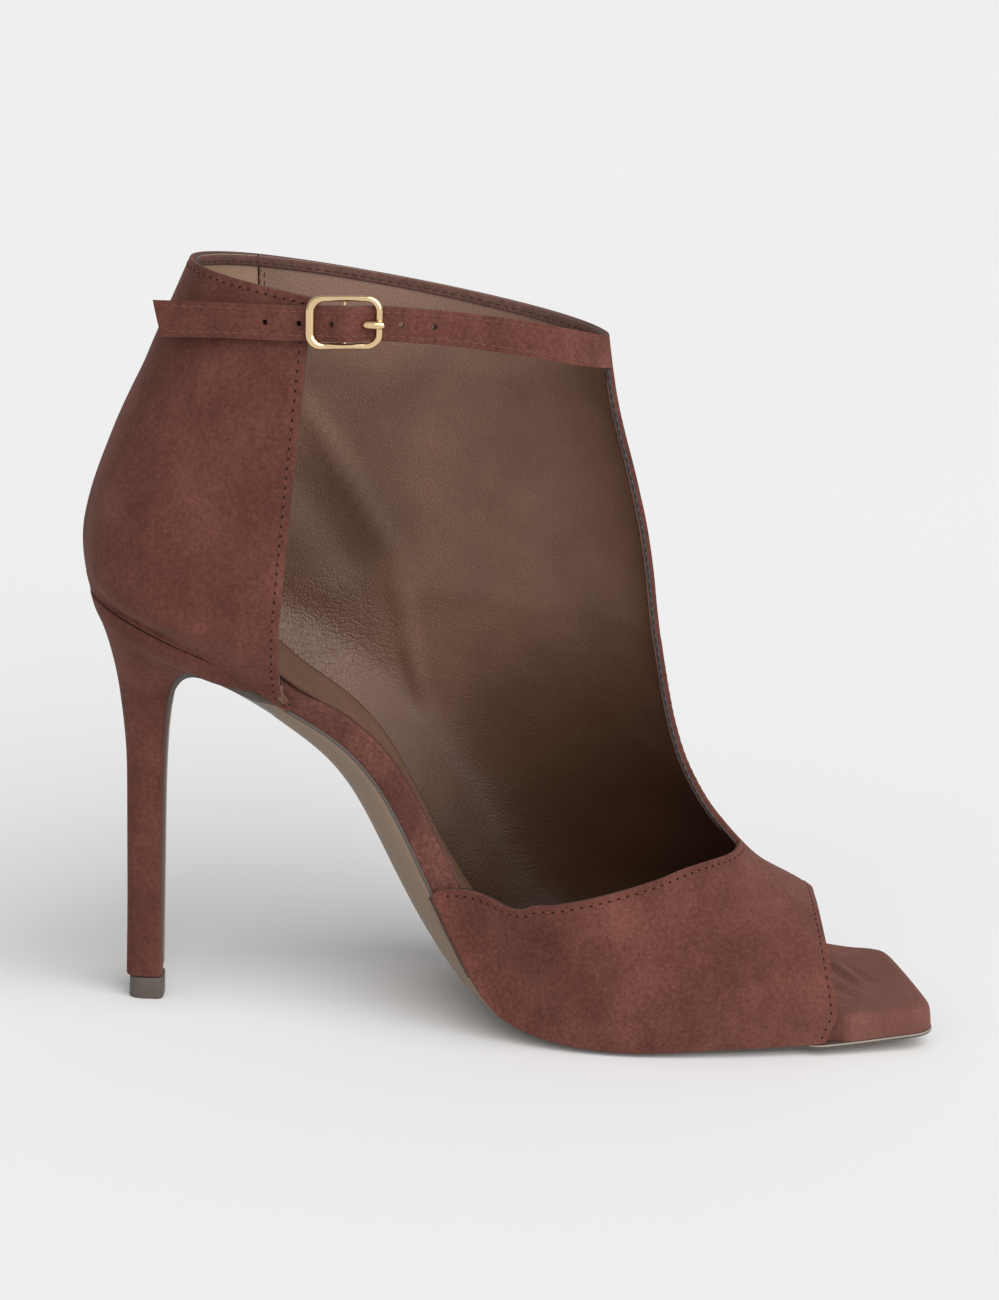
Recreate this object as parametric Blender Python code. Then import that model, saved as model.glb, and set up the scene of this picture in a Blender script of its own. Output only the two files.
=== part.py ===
"""A left heeled sandal with a closed outer side, an open inner side, a peep toe and an ankle strap.

The model stands on its heel tip and the ball of its sole, in metres, with +X to the toe, +Y to the
outer side of the left foot and +Z up. Its origin is the middle of the heel tip, on the floor.
"""

import math

import bmesh
import bpy
import numpy as np
from mathutils import Vector

# Driving dimensions, in metres
SHOE_LENGTH = 0.232
BALL_WIDTH = 0.083
HEEL_RISE = 0.1115
SHAFT_HEIGHT = 0.089
UPPER_WALL = 0.0018
OUTSOLE_THICKNESS = 0.0022
INSOLE_THICKNESS = 0.0068
FIT_GAP = 0.0003

# Heel and heel tip
HEEL_TIP_LENGTH = 0.0094
HEEL_TIP_WIDTH = 0.0096
HEEL_TIP_HEIGHT = 0.006
HEEL_TIP_SETBACK = 0.0140
HEEL_COVER_THICKNESS = 0.001
HEEL_SEAT_GAP = 0.00048
COVER_WIDTH_SHARE = 0.86

# Sole outline
SEAT_RADIUS = 0.026
SEAT_SETBACK = 0.003
TOE_CORNER_RADIUS = 0.009
TOE_SKEW = 0.005
OUTSOLE_INSET = 0.0008
INSOLE_EDGE_RADIUS = 0.0024

# Peep toe, as distances from the heel's rearmost point
TOE_OPENING_RIDGE = 0.200
TOE_OPENING_MEDIAL = 0.2045
TOE_OPENING_LATERAL = 0.1965
TOE_OPENING_BOW = 0.0016

# Strap, its holes and what fastens it. The strap rises over the buckle's middle bar by STRAP_RISE.
STRAP_WIDTH = 0.0088
STRAP_STRAIGHTNESS = 0.6
STRAP_STANDOFF = 0.0008
STRAP_RISE = 0.003
STRAP_TAIL = 0.026
STRAP_HOLE_RADIUS = 0.0009
STRAP_HOLE_PITCH = 0.0086
STRAP_HOLES_BEHIND = 3
STRAP_HOLES_AHEAD = 3
PRONG_HOLE_AHEAD = 0.005
BUCKLE_LENGTH = 0.0188
BUCKLE_WIRE = 0.0015
BUCKLE_CORNER = 0.0036
BAR_RADIUS = 0.0005
PRONG_RADIUS = 0.0005
ELASTIC_WIDTH = 0.0084
ELASTIC_THICKNESS = 0.0009
ELASTIC_TUCK = 0.010

# Counts that set how fine the faceted solids are
SECTION_FACES = 9
STRAP_SLICES = 3
BACK_ROWS = 7
SEAT_ARC_ROWS = 6
QUARTER_ROWS = 3
ARCH_ROWS = 9
VAMP_ROWS = 13
STRAP_COLUMNS = 60
TUBE_FACES = 8
SOLE_STATIONS = 44
HEEL_RING_POINTS = 28

MEDIAL = -1
LATERAL = 1
ACROSS = np.linspace(-1, 1, 9)
TOP_HEIGHT = OUTSOLE_THICKNESS + HEEL_RISE + SHAFT_HEIGHT
HALF_WIDTH = BALL_WIDTH / 2
ORIGIN_X = HEEL_TIP_SETBACK + HEEL_TIP_LENGTH / 2

# The sole's top surface along its middle. x: share of SHOE_LENGTH. rise: share of HEEL_RISE above
# the ball. medial, lateral: half widths, shares of HALF_WIDTH. lift_m, lift_l: how far the edge
# turns up, shares of HALF_WIDTH.
SOLE = [
    # x      rise    medial  lateral lift_m lift_l
    (0.013, 1.000, 0.615, 0.615, 0.030, 0.030),
    (0.073, 0.942, 0.615, 0.615, 0.035, 0.030),
    (0.121, 0.892, 0.608, 0.612, 0.050, 0.030),
    (0.172, 0.828, 0.575, 0.600, 0.090, 0.028),
    (0.228, 0.730, 0.520, 0.585, 0.140, 0.026),
    (0.280, 0.646, 0.472, 0.570, 0.180, 0.026),
    (0.330, 0.526, 0.450, 0.575, 0.200, 0.026),
    (0.380, 0.332, 0.470, 0.615, 0.195, 0.026),
    (0.425, 0.170, 0.545, 0.695, 0.165, 0.020),
    (0.475, 0.050, 0.670, 0.800, 0.100, 0.012),
    (0.530, 0.009, 0.790, 0.895, 0.040, 0.004),
    (0.590, 0.000, 0.870, 0.955, 0.008, 0.000),
    (0.660, 0.000, 0.905, 0.965, 0.000, 0.000),
    (0.740, 0.000, 0.885, 0.905, 0.000, 0.000),
    (0.820, 0.004, 0.825, 0.815, 0.000, 0.000),
    (0.900, 0.013, 0.735, 0.705, 0.000, 0.000),
    (0.955, 0.021, 0.655, 0.610, 0.000, 0.000),
    (1.000, 0.028, 0.590, 0.540, 0.000, 0.000),
]

# Sections of the upper above the seat, from the collar down the back. ridge and base are the ends
# of each section in the middle plane: x as shares of SHOE_LENGTH, z as shares of TOP_HEIGHT.
# medial, lateral: half widths, shares of HALF_WIDTH. at: where along the section it is widest.
# front, back, fill: how round its two ends are, and how far back it stays wide.
BACK_SECTIONS = [
    # ridge_x ridge_z base_x  base_z  medial lateral at     front  back   fill
    (0.5862, 0.9110, 0.1207, 1.0000, 0.745, 0.750, 0.500, 0.560, 0.620, 0.600),
    (0.5980, 0.8410, 0.0770, 0.8810, 0.728, 0.738, 0.535, 0.540, 0.620, 0.640),
    (0.6195, 0.7540, 0.0300, 0.7540, 0.728, 0.742, 0.575, 0.510, 0.640, 0.680),
    (0.6475, 0.6350, 0.0040, 0.6270, 0.752, 0.768, 0.615, 0.490, 0.700, 0.760),
    (0.6620, 0.5480, 0.0130, 0.5600, 0.758, 0.776, 0.630, 0.485, 0.760, 0.790),
]

# Sections whose lower end lies on the sole. base_x: share of SHOE_LENGTH. lean: angle in degrees
# between the section's lower end and its own long axis.
SOLE_SECTIONS = [
    # ridge_x ridge_z base_x  medial lateral at     front  back   fill   lean
    (0.6685, 0.5060, 0.1250, 0.756, 0.782, 0.635, 0.480, 0.420, 0.460, 10.0),
    (0.6840, 0.4230, 0.2330, 0.765, 0.830, 0.625, 0.465, 0.460, 0.440, 16.0),
    (0.7130, 0.3280, 0.3300, 0.820, 0.925, 0.620, 0.470, 0.560, 0.500, 20.0),
    (0.7585, 0.2540, 0.4180, 0.890, 0.985, 0.640, 0.500, 0.560, 0.500, 20.0),
    (0.7980, 0.2130, 0.5080, 0.935, 1.010, 0.640, 0.540, 0.560, 0.500, 16.0),
    (0.8260, 0.1930, 0.6200, 0.945, 1.010, 0.600, 0.590, 0.560, 0.500, 10.0),
    (0.8450, 0.1800, 0.7370, 0.915, 0.945, 0.560, 0.620, 0.560, 0.500, 7.0),
    (0.8620, 0.1680, 0.8620, 0.830, 0.820, 0.560, 0.640, 0.560, 0.500, 5.0),
    (0.8780, 0.1560, 0.9400, 0.720, 0.700, 0.560, 0.640, 0.560, 0.500, 5.0),
]

# Front edge of the inner quarter. z: share of TOP_HEIGHT. x: share of SHOE_LENGTH.
QUARTER_EDGE = [
    (1.000, 0.262),
    (0.900, 0.257),
    (0.780, 0.249),
    (0.640, 0.240),
    (0.520, 0.234),
    (0.400, 0.238),
]
VAMP_BASE_X = 0.418
VAMP_TIP_X = 0.392

# The strap's top edge from the upper's front corner to its end, as shares of SHOE_LENGTH and
# TOP_HEIGHT.
STRAP_EDGE = [
    (0.5862, 0.9110),
    (0.5388, 0.9275),
    (0.4914, 0.9410),
    (0.4224, 0.9550),
    (0.3534, 0.9645),
    (0.3017, 0.9700),
    (0.2543, 0.9725),
    (0.1897, 0.9718),
    (0.1509, 0.9700),
    (0.0862, 0.9640),
]

# The cover under the heel's wing and down its breast, as it leaves the sole. x and z are shares of
# the seat's length and of HEEL_RISE.
BREAST = [
    (0.2280, 0.7150),
    (0.1960, 0.7690),
    (0.1700, 0.7920),
    (0.1470, 0.8030),
    (0.1270, 0.8000),
    (0.1130, 0.7780),
    (0.1045, 0.7400),
    (0.0995, 0.6600),
    (0.0975, 0.5600),
    (0.0970, 0.4000),
    (0.0972, 0.2000),
    (0.0975, 0.0600),
]

# Rings of the heel below its seat. back_x and front_x: shares of SHOE_LENGTH. back_z and front_z:
# shares of HEEL_RISE. wide: half width, share of the half width of the heel tip. square: how flat
# the ring's sides are, from 0 for an ellipse to 1.
HEEL_RINGS = [
    # back_x  back_z  front_x front_z wide   square
    (0.0595, 0.2000, 0.0945, 0.2000, 1.000, 0.80),
    (0.0580, 0.3800, 0.0940, 0.3800, 1.020, 0.70),
    (0.0565, 0.5200, 0.0945, 0.5200, 1.080, 0.60),
    (0.0540, 0.6200, 0.0960, 0.6320, 1.230, 0.50),
    (0.0490, 0.7050, 0.0985, 0.7120, 1.560, 0.45),
    (0.0430, 0.7850, 0.1080, 0.7670, 2.170, 0.42),
    (0.0365, 0.8450, 0.1210, 0.7980, 2.900, 0.40),
    (0.0300, 0.8950, 0.1400, 0.8140, 3.600, 0.40),
    (0.0235, 0.9350, 0.1620, 0.8150, 4.150, 0.42),
    (0.0185, 0.9650, 0.1850, 0.8020, 4.600, 0.45),
]
HEEL_WING_X = 0.216


class Spline:
    """The smoothest cubic curve through its knots, straight on past either end."""

    def __init__(self, knots, values):
        self.knots = np.asarray(knots, float)
        self.values = np.asarray(values, float).reshape(len(self.knots), -1)
        step = np.diff(self.knots)
        count = len(self.knots)
        system = np.eye(count)
        slope_change = np.zeros_like(self.values)
        for i in range(1, count - 1):
            system[i, i - 1 : i + 2] = step[i - 1], 2 * (step[i - 1] + step[i]), step[i]
            after = (self.values[i + 1] - self.values[i]) / step[i]
            before = (self.values[i] - self.values[i - 1]) / step[i - 1]
            slope_change[i] = 6 * (after - before)
        self.bend = np.linalg.solve(system, slope_change)

    def __call__(self, at):
        at = np.asarray(at, float)
        inside = np.clip(at, self.knots[0], self.knots[-1])
        i = np.clip(np.searchsorted(self.knots, inside) - 1, 0, len(self.knots) - 2)
        width = (self.knots[i + 1] - self.knots[i])[..., None]
        a = (self.knots[i + 1] - inside)[..., None] / width
        b = 1 - a
        low, high = self.bend[i], self.bend[i + 1]
        found = a * self.values[i] + b * self.values[i + 1]
        found = found + ((a**3 - a) * low + (b**3 - b) * high) * width**2 / 6
        slope = (self.values[i + 1] - self.values[i]) / width
        slope = slope + ((3 * b**2 - 1) * high - (3 * a**2 - 1) * low) * width / 6
        return found + slope * (at - inside)[..., None]


def chord_lengths(points):
    """Distance along a list of points, from 0."""
    steps = np.linalg.norm(np.diff(np.asarray(points, float), axis=0), axis=1)
    return np.concatenate([[0.0], np.cumsum(steps)])


SOLE_TABLE = np.array(SOLE)
SOLE_X = SOLE_TABLE[:, 0] * SHOE_LENGTH
SOLE_RISE = Spline(SOLE_X, SOLE_TABLE[:, 1] * HEEL_RISE)
SOLE_HALVES = Spline(SOLE_X, SOLE_TABLE[:, 2:4] * HALF_WIDTH)
SOLE_LIFTS = Spline(SOLE_X, SOLE_TABLE[:, 4:6] * HALF_WIDTH)


def sole_height(x):
    """Height of the sole's top surface along its middle, level where the shoe rests on its ball."""
    return OUTSOLE_THICKNESS + FIT_GAP + np.maximum(SOLE_RISE(x)[..., 0], 0)


def sole_normal(x):
    """Direction away from the sole in the middle plane, as its x and z parts."""
    reach = SHOE_LENGTH / 2000
    slope = (sole_height(x + reach) - sole_height(x - reach)) / (2 * reach)
    size = np.sqrt(1 + slope**2)
    return -slope / size, 1 / size


def half_width(x, side, inset=0.0):
    """Half width of the sole's outline on one side, brought in by inset all round."""
    wide = SOLE_HALVES(x)[..., 0 if side == MEDIAL else 1] - inset
    from_back = np.clip((x - SEAT_SETBACK - inset) / SEAT_RADIUS, 0, 1)
    wide = wide * np.sqrt(1 - (1 - from_back) ** 2)
    corner = TOE_CORNER_RADIUS
    from_front = np.clip(SHOE_LENGTH - inset - x, 0, corner)
    return wide - (corner - np.sqrt(corner**2 - (corner - from_front) ** 2))


def edge_lift(x, side):
    """How far the sole's edge turns up on one side."""
    return SOLE_LIFTS(x)[..., 0 if side == MEDIAL else 1]


def toe_skew(x, y):
    """How far the toe's outline falls back towards its outer corner."""
    near_toe = np.clip((x / SHOE_LENGTH - 0.75) / 0.25, 0, 1)
    across = np.clip(0.5 + y / (1.2 * HALF_WIDTH), 0, 1)
    return TOE_SKEW * near_toe**2 * (3 - 2 * near_toe) * across


def sole_point(x, y, height):
    """Points at height above the sole's top surface, at x along it and y across it."""
    x, y, height = np.broadcast_arrays(*(np.asarray(v, float) for v in (x, y, height)))
    normal_x, normal_z = sole_normal(x)
    halves, lifts = SOLE_HALVES(x), SOLE_LIFTS(x)
    across = y / np.where(y < 0, halves[..., 0], halves[..., 1])
    out = height + np.where(y < 0, lifts[..., 0], lifts[..., 1]) * across**2
    points = [x + normal_x * out - toe_skew(x, y), y, sole_height(x) + normal_z * out]
    return np.stack(points, axis=-1)


def sole_outline():
    """The mean outline of the sole from its rearmost point: x, and the distance run so far."""
    x = SEAT_SETBACK + (SHOE_LENGTH - SEAT_SETBACK) * np.linspace(0, 1, 1500) ** 2
    wide = (half_width(x, MEDIAL) + half_width(x, LATERAL)) / 2
    return x, chord_lengths(np.stack([x, wide, sole_height(x)], axis=1))


OUTLINE_X, OUTLINE_RUN = sole_outline()


def section_tables():
    """The upper's sections as one table, with a parameter that grows along ridge and base."""
    back = np.array(BACK_SECTIONS)
    sole = np.array(SOLE_SECTIONS)
    back_base = np.stack([back[:, 2] * SHOE_LENGTH, back[:, 3] * TOP_HEIGHT], axis=1)
    back_base[-1] = SEAT_SETBACK, sole_point(SEAT_SETBACK, 0.0, FIT_GAP)[2]
    ridge = np.concatenate([back[:, :2], sole[:, :2]]) * (SHOE_LENGTH, TOP_HEIGHT)
    run = np.interp(sole[:, 2] * SHOE_LENGTH, OUTLINE_X, OUTLINE_RUN)
    down_back = chord_lengths(back_base)
    along = (chord_lengths(ridge) + np.concatenate([down_back, down_back[-1] + run])) / 2
    shape = np.concatenate([back[:, 4:10], sole[:, 3:9]])
    shape[:, :2] *= HALF_WIDTH
    lean = np.concatenate([np.full(len(back), sole[0, 9]), sole[:, 9]])
    last = len(back) - 1
    return along / along[-1], ridge, back_base, np.concatenate([[0], run]), shape, lean, last


STATION, RIDGE, BACK_BASE, SOLE_RUN, SHAPE, LEAN, SEAT_ROW = section_tables()
SEAT_STATION = STATION[SEAT_ROW]
RIDGE_LINE = Spline(STATION, RIDGE)
BACK_LINE = Spline(STATION[: SEAT_ROW + 1], BACK_BASE)
BASE_LINE = Spline(STATION[SEAT_ROW:], SOLE_RUN)
SHAPES = Spline(STATION, SHAPE)
LEANS = Spline(STATION, LEAN)


def ridge_at(t):
    """Front end of a section, in the middle plane."""
    found = RIDGE_LINE(t)
    return np.array([found[0], 0.0, found[1]])


def base_x_at(t):
    """Where a section that stands on the sole meets it, along the shoe."""
    return float(np.interp(BASE_LINE(t)[0], OUTLINE_RUN, OUTLINE_X))


def base_at(t, side):
    """Lower end of a section on one side, and the direction in which the section arrives there."""
    if t <= SEAT_STATION:
        found = BACK_LINE(t)
        return np.array([found[0], 0.0, found[1]]), math.pi / 2
    x = base_x_at(t)
    reach = min(max((x - SEAT_SETBACK) / SEAT_RADIUS, 0.0), 1.0)
    turned = math.acos(1 - reach) / (math.pi / 2)
    lean = math.radians(float(LEANS(t)[0]))
    end = sole_point(x, side * half_width(np.array(x), side), FIT_GAP)
    return end, lean + (math.pi / 2 - lean) * (1 - turned)


def bezier(p0, p1, p2, p3, s):
    """Points of one cubic curve."""
    s = np.asarray(s, float)[:, None]
    return (1 - s) ** 3 * p0 + 3 * (1 - s) ** 2 * s * p1 + 3 * (1 - s) * s**2 * p2 + s**3 * p3


def section(t, shares, side):
    """Points of the upper's outer face on one section: share 0 is the ridge, 1 the lower end."""
    shares = np.asarray(shares, float)
    medial, lateral, at, front, back, fill = SHAPES(t)
    wide = medial if side == MEDIAL else lateral
    ridge = ridge_at(t)
    base, arrival = base_at(t, side)
    middle = np.array([base[0], 0.0, base[2]])
    length = np.linalg.norm(middle - ridge)
    axis = (middle - ridge) / length
    out = np.array([0.0, float(side), 0.0])
    widest = ridge + axis * at * length + out * wide
    before = at * length * 0.56
    after = (1 - at) * length
    drop = wide - abs(base[1])
    reach = back * (after * math.cos(arrival) + drop * math.sin(arrival))
    end_handle = axis * math.cos(arrival) - out * math.sin(arrival)
    upper = bezier(ridge, ridge + out * wide * front, widest - axis * before, widest, shares * 2)
    lower = bezier(
        widest, widest + axis * after * fill, base - end_handle * reach, base, shares * 2 - 1
    )
    return np.where((shares <= 0.5)[:, None], upper, lower)


def station_where(values, wanted):
    """Station at which a value that rises or falls steadily reaches what is wanted."""
    stations = np.linspace(0, 1, 801)
    found = np.array([values(t) for t in stations])
    if found[-1] < found[0]:
        found, stations = found[::-1], stations[::-1]
    return float(np.interp(wanted, found, stations))


QUARTER_TABLE = np.array(QUARTER_EDGE)[::-1]
QUARTER_LINE = Spline(QUARTER_TABLE[:, 0] * TOP_HEIGHT, QUARTER_TABLE[:, 1] * SHOE_LENGTH)


def quarter_edge_share(t):
    """Share along the inner section at which the quarter's front edge crosses it."""
    shares = np.linspace(0.2, 1, 161)
    points = section(t, shares, MEDIAL)
    edge = QUARTER_LINE(points[:, 2])[:, 0]
    ahead = points[:, 0] - edge
    return float(np.interp(0.0, -ahead, shares))


def opening_x(share, side):
    """Where the peep toe's edge crosses a section share, as a place along the base."""
    foot = TOE_OPENING_MEDIAL if side == MEDIAL else TOE_OPENING_LATERAL
    bow = TOE_OPENING_BOW * 4 * share * (1 - share)
    return TOE_OPENING_RIDGE + (foot - TOE_OPENING_RIDGE) * share + bow


STRAP_TABLE = np.array(STRAP_EDGE)[::-1]
STRAP_LINE = Spline(STRAP_TABLE[:, 0] * SHOE_LENGTH, STRAP_TABLE[:, 1] * TOP_HEIGHT)


def strap_top(x):
    """Height of the strap's top edge."""
    return STRAP_LINE(x)[..., 0]


BUCKLE_X = SHOE_LENGTH * 0.304


def strap_offset(x):
    """How far the strap's outer face stands out from the collar's own outer face."""
    over_quarter = UPPER_WALL + STRAP_STANDOFF
    ease_from = BUCKLE_X + BUCKLE_LENGTH * 1.6
    ease = np.clip((ease_from - x) / (BUCKLE_LENGTH * 1.2), 0, 1)
    bow = STRAP_RISE * np.exp(-(((x - BUCKLE_X) / (BUCKLE_LENGTH * 0.24)) ** 2))
    return over_quarter * ease**2 * (3 - 2 * ease) + bow


def inner_surface(x, z):
    """Sideways place of the collar's inner side at x along the shoe and height z."""
    heights, sideways = [], []
    for row in COLLAR_SLICES:
        heights.append(np.interp(x, row[:, 0], row[:, 2]))
        sideways.append(np.interp(x, row[:, 0], row[:, 1]))
    return float(np.interp(z, heights[::-1], sideways[::-1]))


def collar_slices():
    """Dense rows of the inner side near the collar, each from back to front."""
    shares = np.linspace(1, 0, 300)
    return [section(t, shares, MEDIAL) for t in np.linspace(0, STATION[1] * 1.2, 9)]


COLLAR_SLICES = collar_slices()
STRAP_LEAVES_X = SHOE_LENGTH * 0.19


def collar_line(down):
    """The collar's inner side along the strap's run, and the outward direction at each point."""
    run = []
    for x in np.linspace(ridge_at(0.0)[0], STRAP_LEAVES_X, 120):
        z = float(strap_top(x)) - down
        run.append([x, inner_surface(x, z), z])
    run = np.array(run)
    buckle = int(np.argmin(np.abs(run[:, 0] - BUCKLE_X - BUCKLE_LENGTH)))
    chord = np.interp(run[:, 0], run[[buckle, 0], 0], run[[buckle, 0], 1])
    straight = np.where(np.arange(len(run)) < buckle, STRAP_STRAIGHTNESS, 0)
    run[:, 1] += straight * (chord - run[:, 1])
    tangent = np.gradient(run[:, :2], axis=0)
    tangent[:3] = tangent[3]
    tangent /= np.linalg.norm(tangent, axis=1)[:, None]
    outward = np.stack([tangent[:, 1], -tangent[:, 0], np.zeros(len(run))], axis=1)
    return run, outward * np.where(outward[:, 1:2] > 0, -1, 1)


def beside_collar(x, offset, down):
    """A point at x along the shoe, offset out from the collar and down from the strap's top."""
    line, outward = collar_line(down)
    i = int(np.argmin(np.abs(line[:, 0] - x)))
    place = line[i] + outward[i] * offset
    place[0] += x - line[i, 0]
    return place


def strap_line(down):
    """The strap's outer face at a distance down its width, ridge first: x, y and z."""
    run, outward = collar_line(down)
    run = run + outward * strap_offset(run[:, 0])[:, None]
    steps = np.linspace(0, STRAP_TAIL, 30)[1:]
    last = run[-1] - run[-5]
    last[2] = 0.0
    tail = run[-1] + last / np.linalg.norm(last) * steps[:, None]
    tail[:, 2] = strap_top(tail[:, 0]) - down
    return np.concatenate([run, tail])


def strap_grid():
    """Rows and columns of the strap's outer face: rows down its width, columns from the ridge."""
    rows = []
    last_row = len(STRAP_ROWS) - 1
    for i, t in enumerate(STRAP_ROWS):
        line = strap_line(STRAP_WIDTH * i / last_row)
        along = chord_lengths(line)
        tail_cut = STRAP_WIDTH * 0.35 * i / last_row
        places = np.linspace(0, 1, STRAP_COLUMNS + 1) * (along[-1] - tail_cut)
        row = np.stack([np.interp(places, along, line[:, k]) for k in range(3)], axis=1)
        nearness = np.clip(1 - places / (STRAP_WIDTH * 2.5), 0, 1) ** 2
        row += (ridge_at(t) - row[0]) * nearness[:, None]
        rows.append(row)
    return np.array(rows)


def strap_rows():
    """Stations whose ridge points divide the strap's width where it leaves the upper."""
    top = ridge_at(0.0)[2]
    heights = [top - STRAP_WIDTH * i / STRAP_SLICES for i in range(STRAP_SLICES + 1)]
    return [0.0] + [station_where(lambda t: ridge_at(t)[2], h) for h in heights[1:]]


STRAP_ROWS = strap_rows()
QUARTER_END = station_where(base_x_at, SHOE_LENGTH * 0.2365)
VAMP_START = station_where(base_x_at, SHOE_LENGTH * VAMP_BASE_X)
VAMP_TIP = station_where(base_x_at, SHOE_LENGTH * VAMP_TIP_X)


def upper_rows():
    """Stations of all rows of the upper, from the collar to the peep toe."""
    rows = list(STRAP_ROWS)
    rows += list(np.linspace(rows[-1], SEAT_STATION, BACK_ROWS + 1)[1:])
    arc_end = station_where(base_x_at, SEAT_SETBACK + SEAT_RADIUS)
    rows += list(np.linspace(SEAT_STATION, arc_end, SEAT_ARC_ROWS + 1)[1:])
    rows += list(np.linspace(rows[-1], QUARTER_END, QUARTER_ROWS + 1)[1:])
    rows += list(np.linspace(rows[-1], VAMP_START, ARCH_ROWS + 1)[1:])
    rows += list(np.linspace(rows[-1], 1.0, VAMP_ROWS + 1)[1:])
    return rows


def vamp_start(share, side):
    """Station of the vamp's rear edge at a share: on the inner side it reaches up the arch."""
    if side == LATERAL:
        return VAMP_START
    rise = min(max((share - 0.28) / 0.34, 0.0), 1.0)
    return VAMP_START + (VAMP_TIP - VAMP_START) * rise**2 * (3 - 2 * rise)


def half_rows(side, rows):
    """Section points of one side, with the rows of the vamp drawn out to its two edges."""
    shares = np.linspace(0, 1, SECTION_FACES * 2 + 1)
    starts = [vamp_start(s, side) for s in shares]
    ends = [station_where(base_x_at, opening_x(s, side)) for s in shares]
    found = []
    for t in rows:
        if t < VAMP_START - 1e-9:
            found.append(section(t, shares, side))
            continue
        portion = (t - VAMP_START) / (1 - VAMP_START)
        spans = zip(shares, starts, ends)
        row = [section(first + portion * (last - first), [s], side)[0] for s, first, last in spans]
        found.append(np.array(row))
    return np.array(found)


def quarter_rows(rows):
    """Points of the inner quarter: from the back seam or the seat to its front edge."""
    found = []
    for t in rows:
        if t > QUARTER_END:
            break
        edge = quarter_edge_share(t) if t < QUARTER_END else 1.0
        found.append(section(t, np.linspace(1.0, edge, SECTION_FACES + 1), MEDIAL))
    return np.array(found)


def add_grid(mesh, grid, flip):
    """Adds a grid of points to a bmesh as quads."""
    placed = [[mesh.verts.new(Vector(p)) for p in row] for row in grid]
    for upper, lower in zip(placed, placed[1:]):
        for i in range(len(upper) - 1):
            corners = [upper[i], upper[i + 1], lower[i + 1], lower[i]]
            mesh.faces.new(corners[::-1] if flip else corners)


def finish_object(name, mesh, material):
    """Makes a named object from a bmesh in shoe coordinates, placed on the model's origin."""
    data = bpy.data.meshes.new(name)
    mesh.to_mesh(data)
    mesh.free()
    data.materials.append(material)
    made = bpy.data.objects.new(name, data)
    bpy.context.scene.collection.objects.link(made)
    made.location = (-ORIGIN_X, 0, 0)
    data.shade_smooth()
    data.set_sharp_from_angle(angle=math.radians(40))
    return made


def make_material(name, colour, roughness, metallic=0.0):
    """A plain finish: colour, roughness and metallic value."""
    material = bpy.data.materials.new(name)
    material.use_nodes = True
    shader = material.node_tree.nodes["Principled BSDF"]
    shader.inputs["Base Color"].default_value = (*colour, 1)
    shader.inputs["Roughness"].default_value = roughness
    shader.inputs["Metallic"].default_value = metallic
    return material


def loft(rings, closed_caps=True):
    """A closed bmesh through rings of equal count, its two ends closed from their middles."""
    mesh = bmesh.new()
    placed = [[mesh.verts.new(Vector(p)) for p in ring] for ring in rings]
    count = len(placed[0])
    for lower, upper in zip(placed, placed[1:]):
        for i in range(count):
            j = (i + 1) % count
            mesh.faces.new([lower[i], lower[j], upper[j], upper[i]])
    if closed_caps:
        for ring, points in ((placed[0], rings[0]), (placed[-1], rings[-1])):
            hub = mesh.verts.new(Vector(np.mean(points, axis=0)))
            for i in range(count):
                mesh.faces.new([ring[i], ring[(i + 1) % count], hub])
    bmesh.ops.remove_doubles(mesh, verts=mesh.verts, dist=1e-6)
    bmesh.ops.recalc_face_normals(mesh, faces=mesh.faces)
    return mesh


def cut(target, cutters):
    """Subtracts helper objects, which stay in the scene as hidden wires."""
    for cutter in cutters:
        cutter.hide_render = True
        cutter.display_type = "WIRE"
        modifier = target.modifiers.new(cutter.name, "BOOLEAN")
        modifier.operation = "DIFFERENCE"
        modifier.object = cutter


def strap_frame(x):
    """A place on the strap's outer face: its middle, the way along it to the front, and outward."""
    line = strap_line(STRAP_WIDTH / 2)
    i = int(np.argmin(np.abs(line[:, 0] - x)))
    forward = Vector(line[i - 2] - line[i + 2]).normalized()
    outward = Vector((forward.y, -forward.x, 0)).normalized()
    return Vector(line[i]), forward, outward


def strap_hole_places():
    """Where the strap's holes lie along the shoe. The prong uses the one ahead of the bar."""
    prong_hole = BUCKLE_X + PRONG_HOLE_AHEAD
    steps = range(-STRAP_HOLES_BEHIND, STRAP_HOLES_AHEAD)
    return [prong_hole + STRAP_HOLE_PITCH * i for i in steps]


def make_strap_hole_cutters():
    """One round cutter for each of the strap's holes."""
    cutters = []
    for i, x in enumerate(strap_hole_places()):
        middle, forward, outward = strap_frame(x)
        data = bpy.data.meshes.new(f"hole_cutter_{i}")
        mesh = bmesh.new()
        bmesh.ops.create_cone(
            mesh,
            cap_ends=True,
            segments=10,
            radius1=STRAP_HOLE_RADIUS,
            radius2=STRAP_HOLE_RADIUS,
            depth=UPPER_WALL * 3,
        )
        turn = outward.to_track_quat("Z", "Y").to_matrix()
        bmesh.ops.rotate(mesh, matrix=turn, verts=mesh.verts)
        bmesh.ops.translate(mesh, vec=middle - outward * UPPER_WALL / 2, verts=mesh.verts)
        mesh.to_mesh(data)
        mesh.free()
        made = bpy.data.objects.new(data.name, data)
        bpy.context.scene.collection.objects.link(made)
        made.location = (-ORIGIN_X, 0, 0)
        cutters.append(made)
    return cutters


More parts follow.
